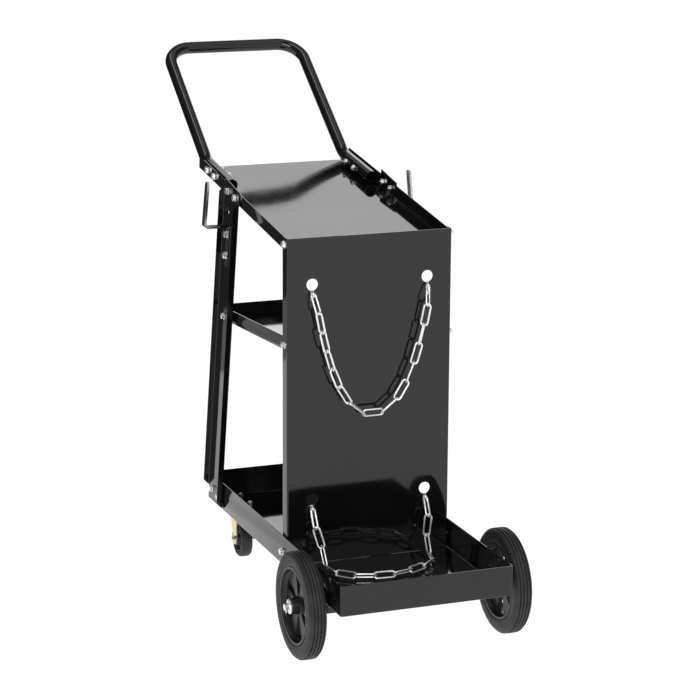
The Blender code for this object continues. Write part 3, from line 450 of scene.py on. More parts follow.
def wall_holes(places, wall_x, reach=CUT_REACH):
    """Bolt holes through the left and the right wall."""
    skins = []
    for y, z in places:
        skins.append(bore_x(y, z, wall_x - reach, wall_x + reach))
        skins.append(bore_x(y, z, -wall_x - reach, -wall_x + reach))
    return skins


def post_axis_y(z):
    return POST_AXIS_Y + POST_LEAN * (z - POST_AXIS_Z)


def post_inner_x(z):
    share = (z - POST_LOW_Z) / (POST_HIGH_Z - POST_LOW_Z)
    return POST_LOW_X + (POST_HIGH_X - POST_LOW_X) * share


def top_floor_z(y):
    return TOP_Z + math.tan(TOP_TILT) * y


def leg_axis_z(y):
    return LEG_Z + math.tan(TOP_TILT) * y


HANDLE_BOLTS = [(y, leg_axis_z(y)) for y in (384.0 * MM, 422.0 * MM)]
POST_TOP_BOLTS = [(y, top_floor_z(y) + 12.5 * MM) for y in (263.0 * MM, 301.0 * MM)]
POST_MIDDLE_BOLTS = [(322.0 * MM, 458.0 * MM)]
POST_TRAY_BOLTS = [(347.0 * MM, 119.5 * MM), (385.0 * MM, 124.0 * MM)]
HOOK_BOLTS = [(post_axis_y(z), z) for z in (571.0 * MM, 609.0 * MM)]
PANEL_TOP_BOLTS = [(11.0 * MM, 645.0 * MM)]
PANEL_MIDDLE_BOLTS = [(12.0 * MM, 477.0 * MM)]
PANEL_TRAY_BOLTS = [(11.0 * MM, 122.0 * MM)]


def plate_bolt_centres(side):
    x, y = PLATE_BOLT_X, PLATE_BOLT_Y
    return [(side * CASTOR_X + a, CASTOR_Y + b, 0.0) for a, b in ((-x, -y), (x, -y), (x, y), (-x, y))]


# ---------------------------------------------------------------- folded sheets
def split_floor(outline, steps=48):
    """Adds points along the two long floor edges of a channel section."""
    points = []
    for (x0, n0), (x1, n1) in zip(outline, outline[1:] + outline[:1]):
        count = steps if abs(x1 - x0) > SHELF_HALF else 1
        points += [(x0 + (x1 - x0) * k / count, n0 + (n1 - n0) * k / count) for k in range(count)]
    return points


def top_shelf_rings(steps=24):
    """Channel whose floor sags a little between its flanges, most at the middle."""
    outline = split_floor(u_outline(SHELF_HALF, TOP_FLANGE))
    place = Matrix.Translation((0, 0, TOP_Z)) @ Matrix.Rotation(TOP_TILT, 4, "X")
    lean, fall = math.cos(TOP_TILT), math.sin(TOP_TILT)
    rings = []
    for k in range(steps + 1):
        share = k / steps
        ring = []
        for x, n in outline:
            start = (TOP_START_Y + n * fall) / lean
            floor = max(1.0 - (x / (SHELF_HALF - 3 * MM)) ** 2, 0.0) if n < 2 * MM else 0.0
            sag = TOP_SAG * floor ** SAG_FLATNESS * math.sin(math.pi * share)
            ring.append(place @ Vector((x, start + (TOP_END - start) * share, n - sag)))
        rings.append(ring)
    return rings


def make_sheets():
    """Base tray, middle shelf, top shelf and bottle panel."""
    place = Matrix.Translation((0, 0, TRAY_BOTTOM))
    rings = moved(pan_rings(TRAY_HALF, TRAY_FRONT, TRAY_BACK, TRAY_HEIGHT), place)
    cuts = wall_holes(POST_TRAY_BOLTS + PANEL_TRAY_BOLTS, TRAY_HALF)
    for _, side in SIDES:
        for centre in plate_bolt_centres(side):
            cuts.append(rod("Z", centre, TRAY_BOTTOM - 5 * MM, TRAY_BOTTOM + 8 * MM, HOLE_RADIUS, 24))
    build("base_tray_sheet", [(rings, False)], "black_coat", "cart", ["base_tray"], cuts)

    place = Matrix.Translation((0, 0, MIDDLE_Z)) @ Matrix.Rotation(MIDDLE_TILT, 4, "X")
    rings = moved(pan_rings(SHELF_HALF, MIDDLE_START, MIDDLE_END, MIDDLE_FLANGE), place)
    cuts = wall_holes(POST_MIDDLE_BOLTS + PANEL_MIDDLE_BOLTS, SHELF_HALF)
    build("middle_shelf_sheet", [(rings, False)], "black_coat", "cart", ["middle_shelf"], cuts)

    cuts = wall_holes(HANDLE_BOLTS + POST_TOP_BOLTS + PANEL_TOP_BOLTS, SHELF_HALF)
    build("top_shelf_sheet", [(top_shelf_rings(), False)], "black_coat", "cart", ["top_shelf"], cuts)

    outline = u_outline(PANEL_HALF, PANEL_FLANGE)
    rings = [[(x, y, z) for x, y in outline] for z in (TRAY_BOTTOM + SHEET + GAP, PANEL_TOP)]
    cuts = wall_holes(PANEL_TOP_BOLTS + PANEL_MIDDLE_BOLTS + PANEL_TRAY_BOLTS, PANEL_HALF)
    keyhole = keyhole_outline()
    for _, side in SIDES:
        for z in KEYHOLE_ZS.values():
            centre = (side * KEYHOLE_X, 0.0, z)
            cuts.append(([on_axis("Y", centre, depth, keyhole) for depth in (-5 * MM, 6 * MM)], False))
    build("bottle_panel_sheet", [(rings, False)], "black_coat", "cart", ["bottle_panel"], cuts)


def keyhole_outline(steps=32):
    """Round hole that a link passes, with the slot below it that holds the link."""
    start = -math.pi / 2 + math.asin(SLOT_HALF / KEYHOLE_RADIUS)
    points = arc((0.0, 0.0), KEYHOLE_RADIUS, start, math.pi - start, steps)
    return points + arc((0.0, SLOT_HALF - SLOT_DROP), SLOT_HALF, math.pi, 2 * math.pi, 12)


def post_notch(side, edge, z, up):
    """Cuts the end of one post flange away at 45 degrees; edge is the flange, up the way to the end."""
    reach = 60 * MM * up
    wedge = [(-6 * MM, z), (0.0, z), (20 * MM, z - 20 * MM * up), (20 * MM, z + reach), (-6 * MM, z + reach)]
    rings = []
    for across in (POST_HALF - POST_NOTCH, POST_HALF + 10 * MM):
        ring = []
        for out, height in wedge:
            ring.append((side * (post_inner_x(height) + out), post_axis_y(height) + edge * across, height))
        rings.append(ring)
    return rings, False


def make_post(word, side):
    """Leaning channel that opens outwards, cut off along the slope of the top shelf."""
    low, high = [], []
    for across, out in u_outline(POST_HALF, POST_FLANGE):
        low.append((side * (post_inner_x(POST_BOTTOM) + out), post_axis_y(POST_BOTTOM) + across, POST_BOTTOM))
        rise = POST_TOP_SLOPE * (post_axis_y(POST_TOP_Z) + across - POST_TOP_Y)
        z = POST_TOP_Z + rise / (1 - POST_TOP_SLOPE * POST_LEAN)
        high.append((side * (post_inner_x(z) + out), post_axis_y(z) + across, z))
    cuts = [
        post_notch(side, 1, 124.0 * MM, -1),
        post_notch(side, -1, POST_BOTTOM - 0.5 * MM, -1),
        post_notch(side, 1, 692.0 * MM, 1),
        post_notch(side, -1, 673.0 * MM, 1),
    ]
    for y, z in POST_TOP_BOLTS + POST_MIDDLE_BOLTS + POST_TRAY_BOLTS + HOOK_BOLTS:
        x = side * post_inner_x(z)
        cuts.append(bore_x(y, z, x - 5 * MM, x + 6 * MM))
    y, z = SPARE_HOLE
    x = side * post_inner_x(z)
    cuts.append(bore_x(y, z, x - 5 * MM, x + 6 * MM, SPARE_RADIUS))
    build(f"post_{word}_channel", [([low, high], False)], "black_coat", "cart", [f"post_{word}"], cuts)


# ---------------------------------------------------------------- handle and hooks
def rounded_path(corners, radii, steps):
    """Polyline with an arc at each inner corner."""
    corners = [Vector(corner) for corner in corners]
    path = [corners[0]]
    for before, corner, after, radius in zip(corners, corners[1:], corners[2:], radii):
        u = (before - corner).normalized()
        v = (after - corner).normalized()
        half = u.angle(v) / 2
        centre = corner + (u + v).normalized() * (radius / math.sin(half))
        first = corner + u * (radius / math.tan(half)) - centre
        last = corner + v * (radius / math.tan(half)) - centre
        turn = first.angle(last)
        for k in range(steps + 1):
            near = math.sin((1 - k / steps) * turn) / math.sin(turn)
            far = math.sin(k / steps * turn) / math.sin(turn)
            path.append(centre + first * near + last * far)
    return path + [corners[-1]]


def directions(path):
    found = []
    for k in range(len(path)):
        if 0 < k < len(path) - 1:
            step = (path[k] - path[k - 1]).normalized() + (path[k + 1] - path[k]).normalized()
        elif k == 0:
            step = path[1] - path[0]
        else:
            step = path[-1] - path[-2]
        found.append(step.normalized())
    return found


def tube_rings(path, radius, steps):
    rings = []
    side = None
    for point, travel in zip(path, directions(path)):
        if side is None:
            side = travel.orthogonal()
        side = (side - travel * side.dot(travel)).normalized()
        other = travel.cross(side)
        rings.append([point + side * a + other * b for a, b in circle(radius, steps)])
    return rings


def make_handle():
    corners = []
    for y, z in ((LEG_START_Y, leg_axis_z(LEG_START_Y)), (BEND_Y, leg_axis_z(BEND_Y)), (BAR_Y, BAR_Z)):
        corners.append((-LEG_X, y, z))
    corners += [(-x, y, z) for x, y, z in reversed(corners)]
    path = rounded_path(corners, (BEND_RADIUS, CORNER_RADIUS, CORNER_RADIUS, BEND_RADIUS), 16)
    outer = tube_rings(path, TUBE_RADIUS, 40)
    inner = tube_rings(path, TUBE_RADIUS - TUBE_WALL, 40)
    cuts = wall_holes(HANDLE_BOLTS, LEG_X, TUBE_RADIUS + 5 * MM)
    build("handle_tube", [(outer + inner[::-1], True)], "black_coat", "cart", ["handle"], cuts)


def strap_rings(stations, thick):
    """Bent flat bar through (x, z, middle y, half width) stations."""
    path = [Vector((x, 0.0, z)) for x, z, _, _ in stations]
    rings = []
    for k, travel in enumerate(directions(path)):
        step = path[k] - path[k - 1] if k else path[1] - path[0]
        mitre = max(travel.dot(step.normalized()), 0.5)
        normal = travel.cross(Vector((0.0, 1.0, 0.0))) * (thick / 2 / mitre)
        _, _, middle, half = stations[k]
        centre = path[k] + Vector((0.0, middle, 0.0))
        wide = Vector((0.0, half, 0.0))
        near, far = centre - wide, centre + wide
        rings.append([near - normal, near + normal, far + normal, far - normal])
    return rings


def make_hook(word, side):
    """Flat bar up the post, out along the arm and up again to a round tip."""
    seat = post_inner_x(HOOK_ARM_Z) + SHEET + GAP + HOOK_THICK / 2 + 0.2 * MM
    foot = seat + (HOOK_ARM_Z - HOOK_LOW) * (POST_LOW_X - POST_HIGH_X) / (POST_HIGH_Z - POST_LOW_Z)
    corners = [(foot, 0.0, HOOK_LOW), (seat, 0.0, HOOK_ARM_Z), (HOOK_REACH, 0.0, HOOK_ARM_Z)]
    corners.append((HOOK_TIP_X, 0.0, HOOK_TIP_Z))
    path = rounded_path(corners, (HOOK_BEND, HOOK_BEND), 8)
    tip, before = path.pop(), path[-1]
    travel = (tip - before).normalized()
    half = HOOK_WIDTH / 2
    stations = [(point.x, point.z, post_axis_y(min(point.z, HOOK_ARM_Z)), half) for point in path]
    arm_y = post_axis_y(HOOK_ARM_Z)
    for k in range(10, -1, -1):
        angle = math.radians(8.2 * k + 8.0)
        point = tip - travel * (half * (1 - math.cos(math.radians(9.0 * k))))
        stations.append((point.x, point.z, arm_y, half * math.sin(angle) if k < 10 else half))
    rings = strap_rings(stations, HOOK_THICK)
    if side < 0:
        rings = [[(-p.x, p.y, p.z) for p in ring] for ring in rings]
    cuts = [bore_x(y, z, side * (seat - 6 * MM), side * (seat + 8 * MM)) for y, z in HOOK_BOLTS]
    # The hooks take the darker copy of zinc, whose colour is painted shade.
    build(f"cable_hook_{word}_bar", [(rings, False)], "zinc", "cart", [f"cable_hook_{word}"], cuts,
          edge=0.5 * MM, look="zinc_with_painted_shade")


# ---------------------------------------------------------------- bolts
def bolt_skins(side, y, z, head_x, nut_x, scale=1.0, radius=BOLT_RADIUS):
    """Hexagon head, loose washer, threaded shank end and nut along X."""
    steps = 48
    out = side * scale
    turn = random.uniform(0.0, math.pi)
    washer = head_x + out * WASHER_THICK
    head = washer + out * HEAD_HEIGHT
    nut = nut_x - out * NUT_HEIGHT
    flat = HEAD_FLAT * scale
    lift = 0.55 * MM * out
    place = (0.0, y, z)
    head_rings = [
        (washer, hexagon(flat, steps, turn)),
        (head - lift, hexagon(flat, steps, turn)),
        (head - lift * 0.35, [shrink(p, flat * 1.06) for p in hexagon(flat, steps, turn)]),
        (head, circle(flat * 0.93, steps)),
        (head + lift * 0.5, circle(flat * 0.72, steps)),
        (head + lift * 0.8, circle(flat * 0.45, steps)),
        (head + lift * 0.9, circle(flat * 0.12, steps)),
    ]
    nut_rings = [
        (nut_x, circle(flat * 0.94, steps)),
        (nut_x - lift * 0.6, [shrink(p, flat * 1.07) for p in hexagon(flat, steps, turn + 0.4)]),
        (nut_x - lift, hexagon(flat, steps, turn + 0.4)),
        (nut + lift, hexagon(flat, steps, turn + 0.4)),
        (nut + lift * 0.4, [shrink(p, flat * 1.07) for p in hexagon(flat, steps, turn + 0.4)]),
        (nut, circle(flat * 0.94, steps)),
        (nut, circle(radius, steps)),
    ]
    skins = []
    for rings in (head_rings, nut_rings):
        skins.append(([on_axis("X", place, x, outline) for x, outline in rings], False))
    ring = WASHER_RADIUS * scale
    profile = [(head_x, radius), (head_x, ring), (washer - 0.2 * MM * out, ring)]
    profile += [(washer - 0.05 * MM * out, ring - 0.3 * MM), (washer - 0.05 * MM * out, radius)]
    skins.append(turned("X", place, profile, steps))
    end = nut - out * 1.7 * MM
    profile = [(washer, radius * 0.9), (nut, radius * 0.9)]
    for k in range(4):
        profile.append((nut - out * (0.2 + 0.4 * k) * MM, radius * (0.98 if k % 2 else 0.84)))
    profile += [(end, radius * 0.8)]
    skins.append(turned("X", place, profile, 24, False))
    return skins


def shrink(point, limit):
    """Holds an outline point inside a circle."""
    reach = math.hypot(*point)
    share = min(1.0, limit / reach)
    return point[0] * share, point[1] * share


def make_bolts(prefix, places, head_face, nut_face):
    for number, (y, z) in enumerate(places, 1):
        for word, side in SIDES:
            node = f"{prefix}_{word}" + (f"_{number}" if len(places) > 1 else "")
            skins = bolt_skins(side, y, z, side * head_face(z), side * nut_face(z))
            build(node + "_set", skins, "zinc", "cart", [node], edge=0, angle=32.0)


def make_all_bolts():
    shelf_out, shelf_in = SHELF_HALF + GAP, SHELF_HALF - SHEET - GAP
    tray_out, tray_in = TRAY_HALF + GAP, TRAY_HALF - SHEET - GAP
    panel_out, panel_in = PANEL_HALF + GAP, PANEL_HALF - SHEET - GAP
    tube_in = LEG_X - TUBE_RADIUS - GAP

    def post_out(z):
        return post_inner_x(z) + SHEET + GAP + 0.15 * MM

    def post_in(z):
        return post_inner_x(z) - GAP - 0.15 * MM

    def hook_out(z):
        return post_inner_x(z) + SHEET + HOOK_THICK + 2 * GAP + 0.3 * MM

    make_bolts("handle_bolt", HANDLE_BOLTS, lambda z: shelf_out, lambda z: tube_in)
    make_bolts("post_top_bolt", POST_TOP_BOLTS, post_out, lambda z: shelf_in)
    make_bolts("post_middle_bolt", POST_MIDDLE_BOLTS, post_out, lambda z: shelf_in)
    make_bolts("post_tray_bolt", POST_TRAY_BOLTS, post_out, lambda z: tray_in)
    make_bolts("hook_bolt", HOOK_BOLTS, hook_out, post_in)
    make_bolts("panel_top_bolt", PANEL_TOP_BOLTS, lambda z: panel_out, lambda z: shelf_in)
    make_bolts("panel_middle_bolt", PANEL_MIDDLE_BOLTS, lambda z: panel_out, lambda z: shelf_in)
    make_bolts("panel_tray_bolt", PANEL_TRAY_BOLTS, lambda z: tray_out, lambda z: panel_in)


# ---------------------------------------------------------------- wheels and axle
def tyre_profile():
    """Half section of a ribbed tyre tread, then its mirror image, as one closed loop."""
    tread = WHEEL_RADIUS
    right = [(12.5 * MM, RIM_RADIUS + GAP), (14.2 * MM, 66 * MM), (15 * MM, 70 * MM), (15 * MM, 78 * MM)]
    right += [(14.7 * MM, tread - 7.4 * MM), (13.9 * MM, tread - 5.0 * MM), (12.6 * MM, tread - 2.9 * MM)]
    right += [(11.0 * MM, tread - 1.5 * MM), (9.6 * MM, tread - 0.8 * MM)]
    for middle in GROOVE_MIDDLES:
        crown = tread - (middle / TREAD_HALF) ** 2 * TREAD_FALL
        floor = crown - GROOVE_DEPTH
        right += [(middle + GROOVE_MOUTH_HALF, crown), (middle + GROOVE_FLOOR_HALF, floor)]
        right += [(middle - GROOVE_FLOOR_HALF, floor), (middle - GROOVE_MOUTH_HALF, crown)]
        right.append((middle - 2.4 * MM, min(crown + 0.25 * MM, tread)))
    right.pop()
    return right + [(0.0, tread)] + [(-offset, radius) for offset, radius in reversed(right)]


def window_cutter(centre, turn):
    """One opening between two spokes of a rim."""
    outer, inner = RIM_BORE - 3.5 * MM, HUB_RADIUS + 4 * MM
    half = WINDOW_TURN / 2
    outline = arc((0.0, 0.0), outer, turn - half * 0.9, turn + half * 0.9, 8)
    outline += arc((0.0, 0.0), outer - 3 * MM, turn + half, turn + half, 1)[:1]
    outline += arc((0.0, 0.0), inner, turn + half * 0.9, turn - half * 0.9, 4)
    outline += arc((0.0, 0.0), outer - 3 * MM, turn - half, turn - half, 1)[:1]
    return [on_axis("X", centre, offset, outline) for offset in (-9 * MM, 9 * MM)], False


def make_wheel(word, side):
    centre = (side * WHEEL_X, WHEEL_Y, WHEEL_RADIUS)
    body = f"wheel_{word}"
    build(f"wheel_{word}_tyre", [turned("X", centre, tyre_profile(), 160)], "rubber", body,
          [f"wheel_tyre_{word}"], edge=0, angle=38.0)
    right = [(RIM_HALF, RIM_RADIUS), (RIM_HALF, RIM_BORE + 0.4 * MM)]
    right += [(WEB_HALF + 2.5 * MM, RIM_BORE - 0.8 * MM), (WEB_HALF, RIM_BORE - 3.2 * MM)]
    right += [(WEB_HALF, HUB_RADIUS + 3 * MM), (WEB_HALF + 2 * MM, HUB_RADIUS + 0.8 * MM)]
    right += [(HUB_HALF, HUB_RADIUS - 0.8 * MM), (HUB_HALF, AXLE_BORE)]
    windows = [window_cutter(centre, 2 * math.pi * (k + 0.5) / WINDOWS) for k in range(WINDOWS)]
    build(f"wheel_{word}_rim", [turned("X", centre, mirrored(right), 96)], "black_plastic", body,
          [f"wheel_rim_{word}"], windows, edge=0.7 * MM)


def ring_section(low, high, radius):
    """Half section of a washer or spacer on the axle, its outer edges broken."""
    return [(low, AXLE_BORE), (low, radius - BROKEN_EDGE), (low + BROKEN_EDGE, radius),
            (high - BROKEN_EDGE, radius), (high, radius - BROKEN_EDGE), (high, AXLE_BORE)]


def pin_frame(side):
    """Place and turn of a split pin across the axle end."""
    place = Matrix.Translation((side * PIN_X, WHEEL_Y, WHEEL_RADIUS))
    return place @ Matrix.Rotation(PIN_TURN, 4, "X")


def make_axle_parts():
    """Carrier channel under the tray, axle, washers, spacers and split pins."""
    y0, y1 = WHEEL_Y - CARRIER_HALF_Y, WHEEL_Y + CARRIER_HALF_Y
    rings = pan_rings(CARRIER_HALF, y0, y1, TRAY_BOTTOM - GAP - CARRIER_LOW)
    rings = [[(x, y, TRAY_BOTTOM - GAP - z) for x, y, z in ring] for ring in rings]
    bores = []
    for x in (CARRIER_HALF, -CARRIER_HALF):
        bores.append(bore_x(WHEEL_Y, WHEEL_RADIUS, x - CUT_REACH, x + CUT_REACH, AXLE_BORE, 48))
    build("axle_carrier_channel", [(rings, False)], "black_coat", "cart", ["axle_carrier"], bores)
    profile = [(-AXLE_HALF, AXLE_RADIUS - 1 * MM), (-AXLE_HALF + 1 * MM, AXLE_RADIUS)]
    holes = []
    for _, side in SIDES:
        rings, closed = rod("Z", (0, 0, 0), -12 * MM, 12 * MM, PIN_RADIUS + GAP)
        holes.append((moved(rings, pin_frame(side)), closed))
    centre = (0.0, WHEEL_Y, WHEEL_RADIUS)
    build("axle_rod", [turned("X", centre, mirrored(profile), 48, False)], "zinc", "cart", ["axle"],
          holes, edge=0)
    for word, side in SIDES:
        outer = WHEEL_X + HUB_HALF + GAP
        washer = ring_section(outer, outer + WHEEL_WASHER_THICK, WHEEL_WASHER_RADIUS)
        spacer = ring_section(CARRIER_HALF + GAP, WHEEL_X - HUB_HALF - GAP, SPACER_RADIUS)
        for kind, section in (("washer", washer), ("spacer", spacer)):
            section = [(side * offset, radius) for offset, radius in section]
            build(f"axle_{kind}_{word}", [turned("X", centre, section, 48)], "zinc", "cart",
                  [f"wheel_{kind}_{word}"], edge=0, angle=30.0)
        make_split_pin(word, side)


def make_split_pin(word, side):
    """Two half-round legs spread at their ends, and the eye that joins them."""
    frame_at = pin_frame(side)
    wire = PIN_RADIUS / 2
    skins = []
    for way in (-1, 1):
        corners = [(0.0, way * wire, 10.0 * MM), (0.0, way * wire, -8.0 * MM)]
        corners.append((0.0, way * (2.2 if way > 0 else 3.4) * MM, -12.0 * MM))
        path = rounded_path(corners, (3 * MM,), 5)
        skins.append((moved(tube_rings(path, wire, 12), frame_at), False))
    ends = [(0.0, -wire, 9.8 * MM), (0.0, -3.6 * MM, 12.0 * MM), (0.0, -3.2 * MM, 16.4 * MM)]
    ends += [(-x, -y, z) for x, y, z in reversed(ends)]
    path = rounded_path(ends, (1.6 * MM, 2.4 * MM, 2.4 * MM, 1.6 * MM), 6)
    skins.append((moved(tube_rings(path, wire, 12), frame_at), False))
    build(f"axle_split_pin_{word}", skins, "zinc", "cart", [f"split_pin_{word}"], edge=0)


# ---------------------------------------------------------------- castors
def make_castor(word, side):
    """Top plate with its ball race, kingpin rivet, plate bolts, fork and wheel."""
    centre = (side * CASTOR_X, CASTOR_Y, 0.0)
    top = TRAY_BOTTOM - GAP
    outline = rounded_rectangle(-PLATE_HALF_X, PLATE_HALF_X, -PLATE_HALF_Y, PLATE_HALF_Y, 6 * MM, 8)
    plate = [on_axis("Z", centre, z, outline) for z in (top - PLATE_THICK, top)]
    middle = top - PLATE_THICK / 2
    race = [(RACE_LOW, RACE_RADIUS - 2 * MM), (RACE_LOW + 0.8 * MM, RACE_RADIUS - 0.6 * MM)]
    race += [(RACE_LOW + 2.2 * MM, RACE_RADIUS), (middle, RACE_RADIUS)]
    joins = [[turned("Z", centre, race, 48, False)]]
    bore = [rod("Z", centre, RACE_LOW - 5 * MM, top + 5 * MM, KINGPIN_RADIUS + GAP)]
    build(f"castor_{word}_top_plate", [(plate, False)], "yellow_zinc", "cart", [f"castor_plate_{word}"],
          bore, joins, edge=0.3 * MM)
    crown_low = CROWN_TOP - FORK_THICK - GAP
    pin = [(crown_low - 3.2 * MM, 4.5 * MM), (crown_low - 2.6 * MM, 6.5 * MM), (crown_low - 1.6 * MM, 8 * MM)]
    pin += [(crown_low, 8 * MM), (crown_low, KINGPIN_RADIUS), (top - GAP, KINGPIN_RADIUS)]
    build(f"castor_{word}_rivet", [turned("Z", centre, pin, 48, False)], "steel", "cart",
          [f"castor_kingpin_{word}"], edge=0, angle=35.0)
    make_plate_bolts(word, side)
    make_fork(word, side)
    make_castor_wheel(word, side)


def make_plate_bolts(word, side):
    """The bolts through plate and tray floor: heads below, nuts on the tray floor."""
    seat = TRAY_BOTTOM - GAP - PLATE_THICK
    nut = TRAY_BOTTOM + SHEET + GAP
    skins = []
    for x, y, _ in plate_bolt_centres(side):
        for rings, closed in bolt_skins(1, 0.0, 0.0, -seat, -nut, PLATE_BOLT_SCALE):
            skins.append(([[(x + b, y + c, -a) for a, b, c in ring] for ring in rings], closed))
    build(f"castor_{word}_plate_bolts", skins, "yellow_zinc", "cart", [f"castor_plate_{word}"],
          edge=0, angle=32.0, look="zinc")


def fork_stations(steps=10):
    """Right half of the fork strap: crown, bend, tapering cheek and round end."""
    crown_z = CROWN_TOP - FORK_THICK / 2
    bend_x = FORK_HALF - FORK_BEND
    stations = [(0.0, crown_z, 0.0, FORK_CROWN_WIDE), (bend_x, crown_z, -1 * MM, FORK_CROWN_WIDE)]
    for k in range(1, steps + 1):
        angle = math.pi / 2 * k / steps
        x = bend_x + FORK_BEND * math.sin(angle)
        z = crown_z - FORK_BEND + FORK_BEND * math.cos(angle)
        stations.append((x, z, -1 * MM - 1 * MM * k / steps, FORK_CROWN_WIDE - 0.5 * MM * k / steps))
    stations.append((FORK_HALF, SHOULDER_Z, SHOULDER_Y, SHOULDER_WIDE))
    low_z = CASTOR_RADIUS + 2 * MM
    for k in range(1, 6):
        share = k / 6
        ease = share * share * (3 - 2 * share) * 0.35 + share * 0.65
        z = SHOULDER_Z + (low_z - SHOULDER_Z) * share
        middle = SHOULDER_Y - (CASTOR_TRAIL + SHOULDER_Y) * ease
        stations.append((FORK_HALF, z, middle, SHOULDER_WIDE + (FORK_END_WIDE - SHOULDER_WIDE) * ease))
    stations.append((FORK_HALF, low_z, -CASTOR_TRAIL, FORK_END_WIDE))
    for k in range(1, 9):
        angle = math.radians(10 * k)
        z = CASTOR_RADIUS - FORK_END_WIDE * math.sin(angle)
        stations.append((FORK_HALF, z, -CASTOR_TRAIL, FORK_END_WIDE * math.cos(angle)))
    return stations


def make_fork(word, side):
    half = fork_stations()
    left = [(-x, z, middle, wide) for x, z, middle, wide in reversed(half[1:])]
    origin = (side * CASTOR_X, CASTOR_Y, 0.0)
    rings = moved(strap_rings(left + half, FORK_THICK), Matrix.Translation(origin))
    crown = rod("Z", origin, CROWN_TOP - 8 * MM, CROWN_TOP + 5 * MM, KINGPIN_RADIUS + GAP)
    x = side * CASTOR_X
    axle = bore_x(CASTOR_Y - CASTOR_TRAIL, CASTOR_RADIUS, x - 20 * MM, x + 20 * MM, CASTOR_BOLT_RADIUS + GAP)
    build(f"castor_{word}_fork", [(rings, False)], "yellow_zinc", f"castor_{word}_swivel",
          [f"castor_fork_{word}"], [crown, axle], edge=0.4 * MM)


def make_castor_wheel(word, side):
    centre = (side * CASTOR_X, CASTOR_Y - CASTOR_TRAIL, CASTOR_RADIUS)
    body = f"castor_{word}_wheel"
    rim = CASTOR_RADIUS
    right = [(7.5 * MM, 22 * MM), (8.6 * MM, 23 * MM), (9.6 * MM, 25 * MM), (10 * MM, 27 * MM)]
    right += [(9.6 * MM, rim - 2.6 * MM), (8.4 * MM, rim - 1.1 * MM)]
    right += [(6.4 * MM, rim - 0.25 * MM), (3 * MM, rim)]
    build(f"castor_{word}_tread", [turned("X", centre, mirrored(right), 96)], "rubber", body,
          [f"castor_tyre_{word}"], edge=0, angle=38.0)
    right = [(7.2 * MM, 21.7 * MM), (8.6 * MM, 21.4 * MM), (8.8 * MM, 20.2 * MM), (4.6 * MM, 18.6 * MM)]
    right += [(4.2 * MM, 11 * MM), (9.5 * MM, 9.6 * MM), (11 * MM, 8.5 * MM)]
    right.append((11 * MM, CASTOR_BOLT_RADIUS + GAP))
    build(f"castor_{word}_core", [turned("X", centre, mirrored(right), 64)], "black_plastic", body,
          [f"castor_hub_{word}"], edge=0, angle=32.0)
    face = FORK_HALF + FORK_THICK / 2 + GAP
    x = side * CASTOR_X
    skins = bolt_skins(side, centre[1], centre[2], x + side * face, x - side * face, 1.2, CASTOR_BOLT_RADIUS)
    build(f"castor_{word}_axle_bolt", skins, "zinc", f"castor_{word}_swivel", [f"castor_bolt_{word}"],
          edge=0, angle=32.0)


# ---------------------------------------------------------------- chains
def link_skin(start, end, normal):
    """One closed link that pulls at two contact points; normal is its face normal."""
    start, end = Vector(start), Vector(end)
    along = (end - start).normalized()
    normal = (normal - along * normal.dot(along)).normalized()
    wide = along.cross(normal)
    bend = (LINK_WIDTH - WIRE) / 2
    straight = (end - start).length / 2 + WIRE / 2 - bend
    outline = arc((straight, 0.0), bend, -math.pi / 2, math.pi / 2, 12)
    outline += [(-a, -b) for a, b in outline]
    middle = (start + end) / 2
    rings = []
    for a, b in outline:
        reach = max(a - straight, 0.0) if a > 0 else min(a + straight, 0.0)
        out = (along * reach + wide * b).normalized()
        centre = middle + along * a + wide * b
        rings.append([centre + out * c + normal * d for c, d in circle(WIRE / 2, 14)])
    return rings, True


def slot_joints(side, hang_z):
    """Contact points from the tail link behind the panel to the first hanging link."""
    x = side * KEYHOLE_X
    back = (x, SLOT_Y + PITCH * math.cos(SLOT_SLOPE), hang_z + PITCH * math.sin(SLOT_SLOPE))
    tail = (x, back[1] + 3 * MM, back[2] - PITCH)
    return [tail, back]


def chained(middle, hang_z):
    """All contact points of a chain: both tails, both slot links and the links between."""
    return slot_joints(-1, hang_z) + middle + slot_joints(1, hang_z)[::-1]


def rolled(start, end, roll):
    """Face normal of a link: 0 faces the bottle bay, a quarter turn shows its edge."""
    along = (Vector(end) - Vector(start)).normalized()
    across = along.cross(Vector((0.0, 1.0, 0.0))).normalized()
    facing = across.cross(along)
    return facing * math.cos(roll) + across * math.sin(roll)


def solve(function, low, high):
    """Root of a rising function by halving."""
    for _ in range(60):
        middle = (low + high) / 2
        if function(middle) < 0:
            low = middle
        else:
            high = middle
    return (low + high) / 2


def hanging_joints(hang_z):
    """Catenary from slot to slot; its end links lean out to the plane of the others."""
    end_drop = math.sqrt(PITCH ** 2 - (CHAIN_Y - SLOT_Y) ** 2)
    lengths = [end_drop] + [PITCH] * (LINKS - 2) + [end_drop]
    half_length = sum(lengths) / 2
    a = solve(lambda v: v * math.asinh(half_length / v) - KEYHOLE_X, 5 * MM, 400 * MM)
    top = math.hypot(a, half_length)
    joints = []
    for k in range(LINKS + 1):
        s = sum(lengths[:k]) - half_length
        y = SLOT_Y if k in (0, LINKS) else CHAIN_Y
        joints.append((a * math.asinh(s / a), y, hang_z - top + math.hypot(a, s)))
    return joints


def resting_route(hang_z, steps=12):
    """Way of the lower chain: down to the tray floor, round half an ellipse on it and back up."""
    ends = [(-KEYHOLE_X, SLOT_Y, hang_z), (-FALL_X, FALL_Y, hang_z - FALL_DROP)]
    loop = []
    for k in range(steps + 1):
        turn = math.pi * k / steps
        y = LOOP_Y - LOOP_SKEW * math.cos(turn) - LOOP_REACH * math.sin(turn)
        loop.append((-LOOP_HALF * math.cos(turn), y, CHAIN_FLOOR))
    back = [(-x, y, z) for x, y, z in reversed(ends)]
    return [Vector(point) for point in ends + loop + back]


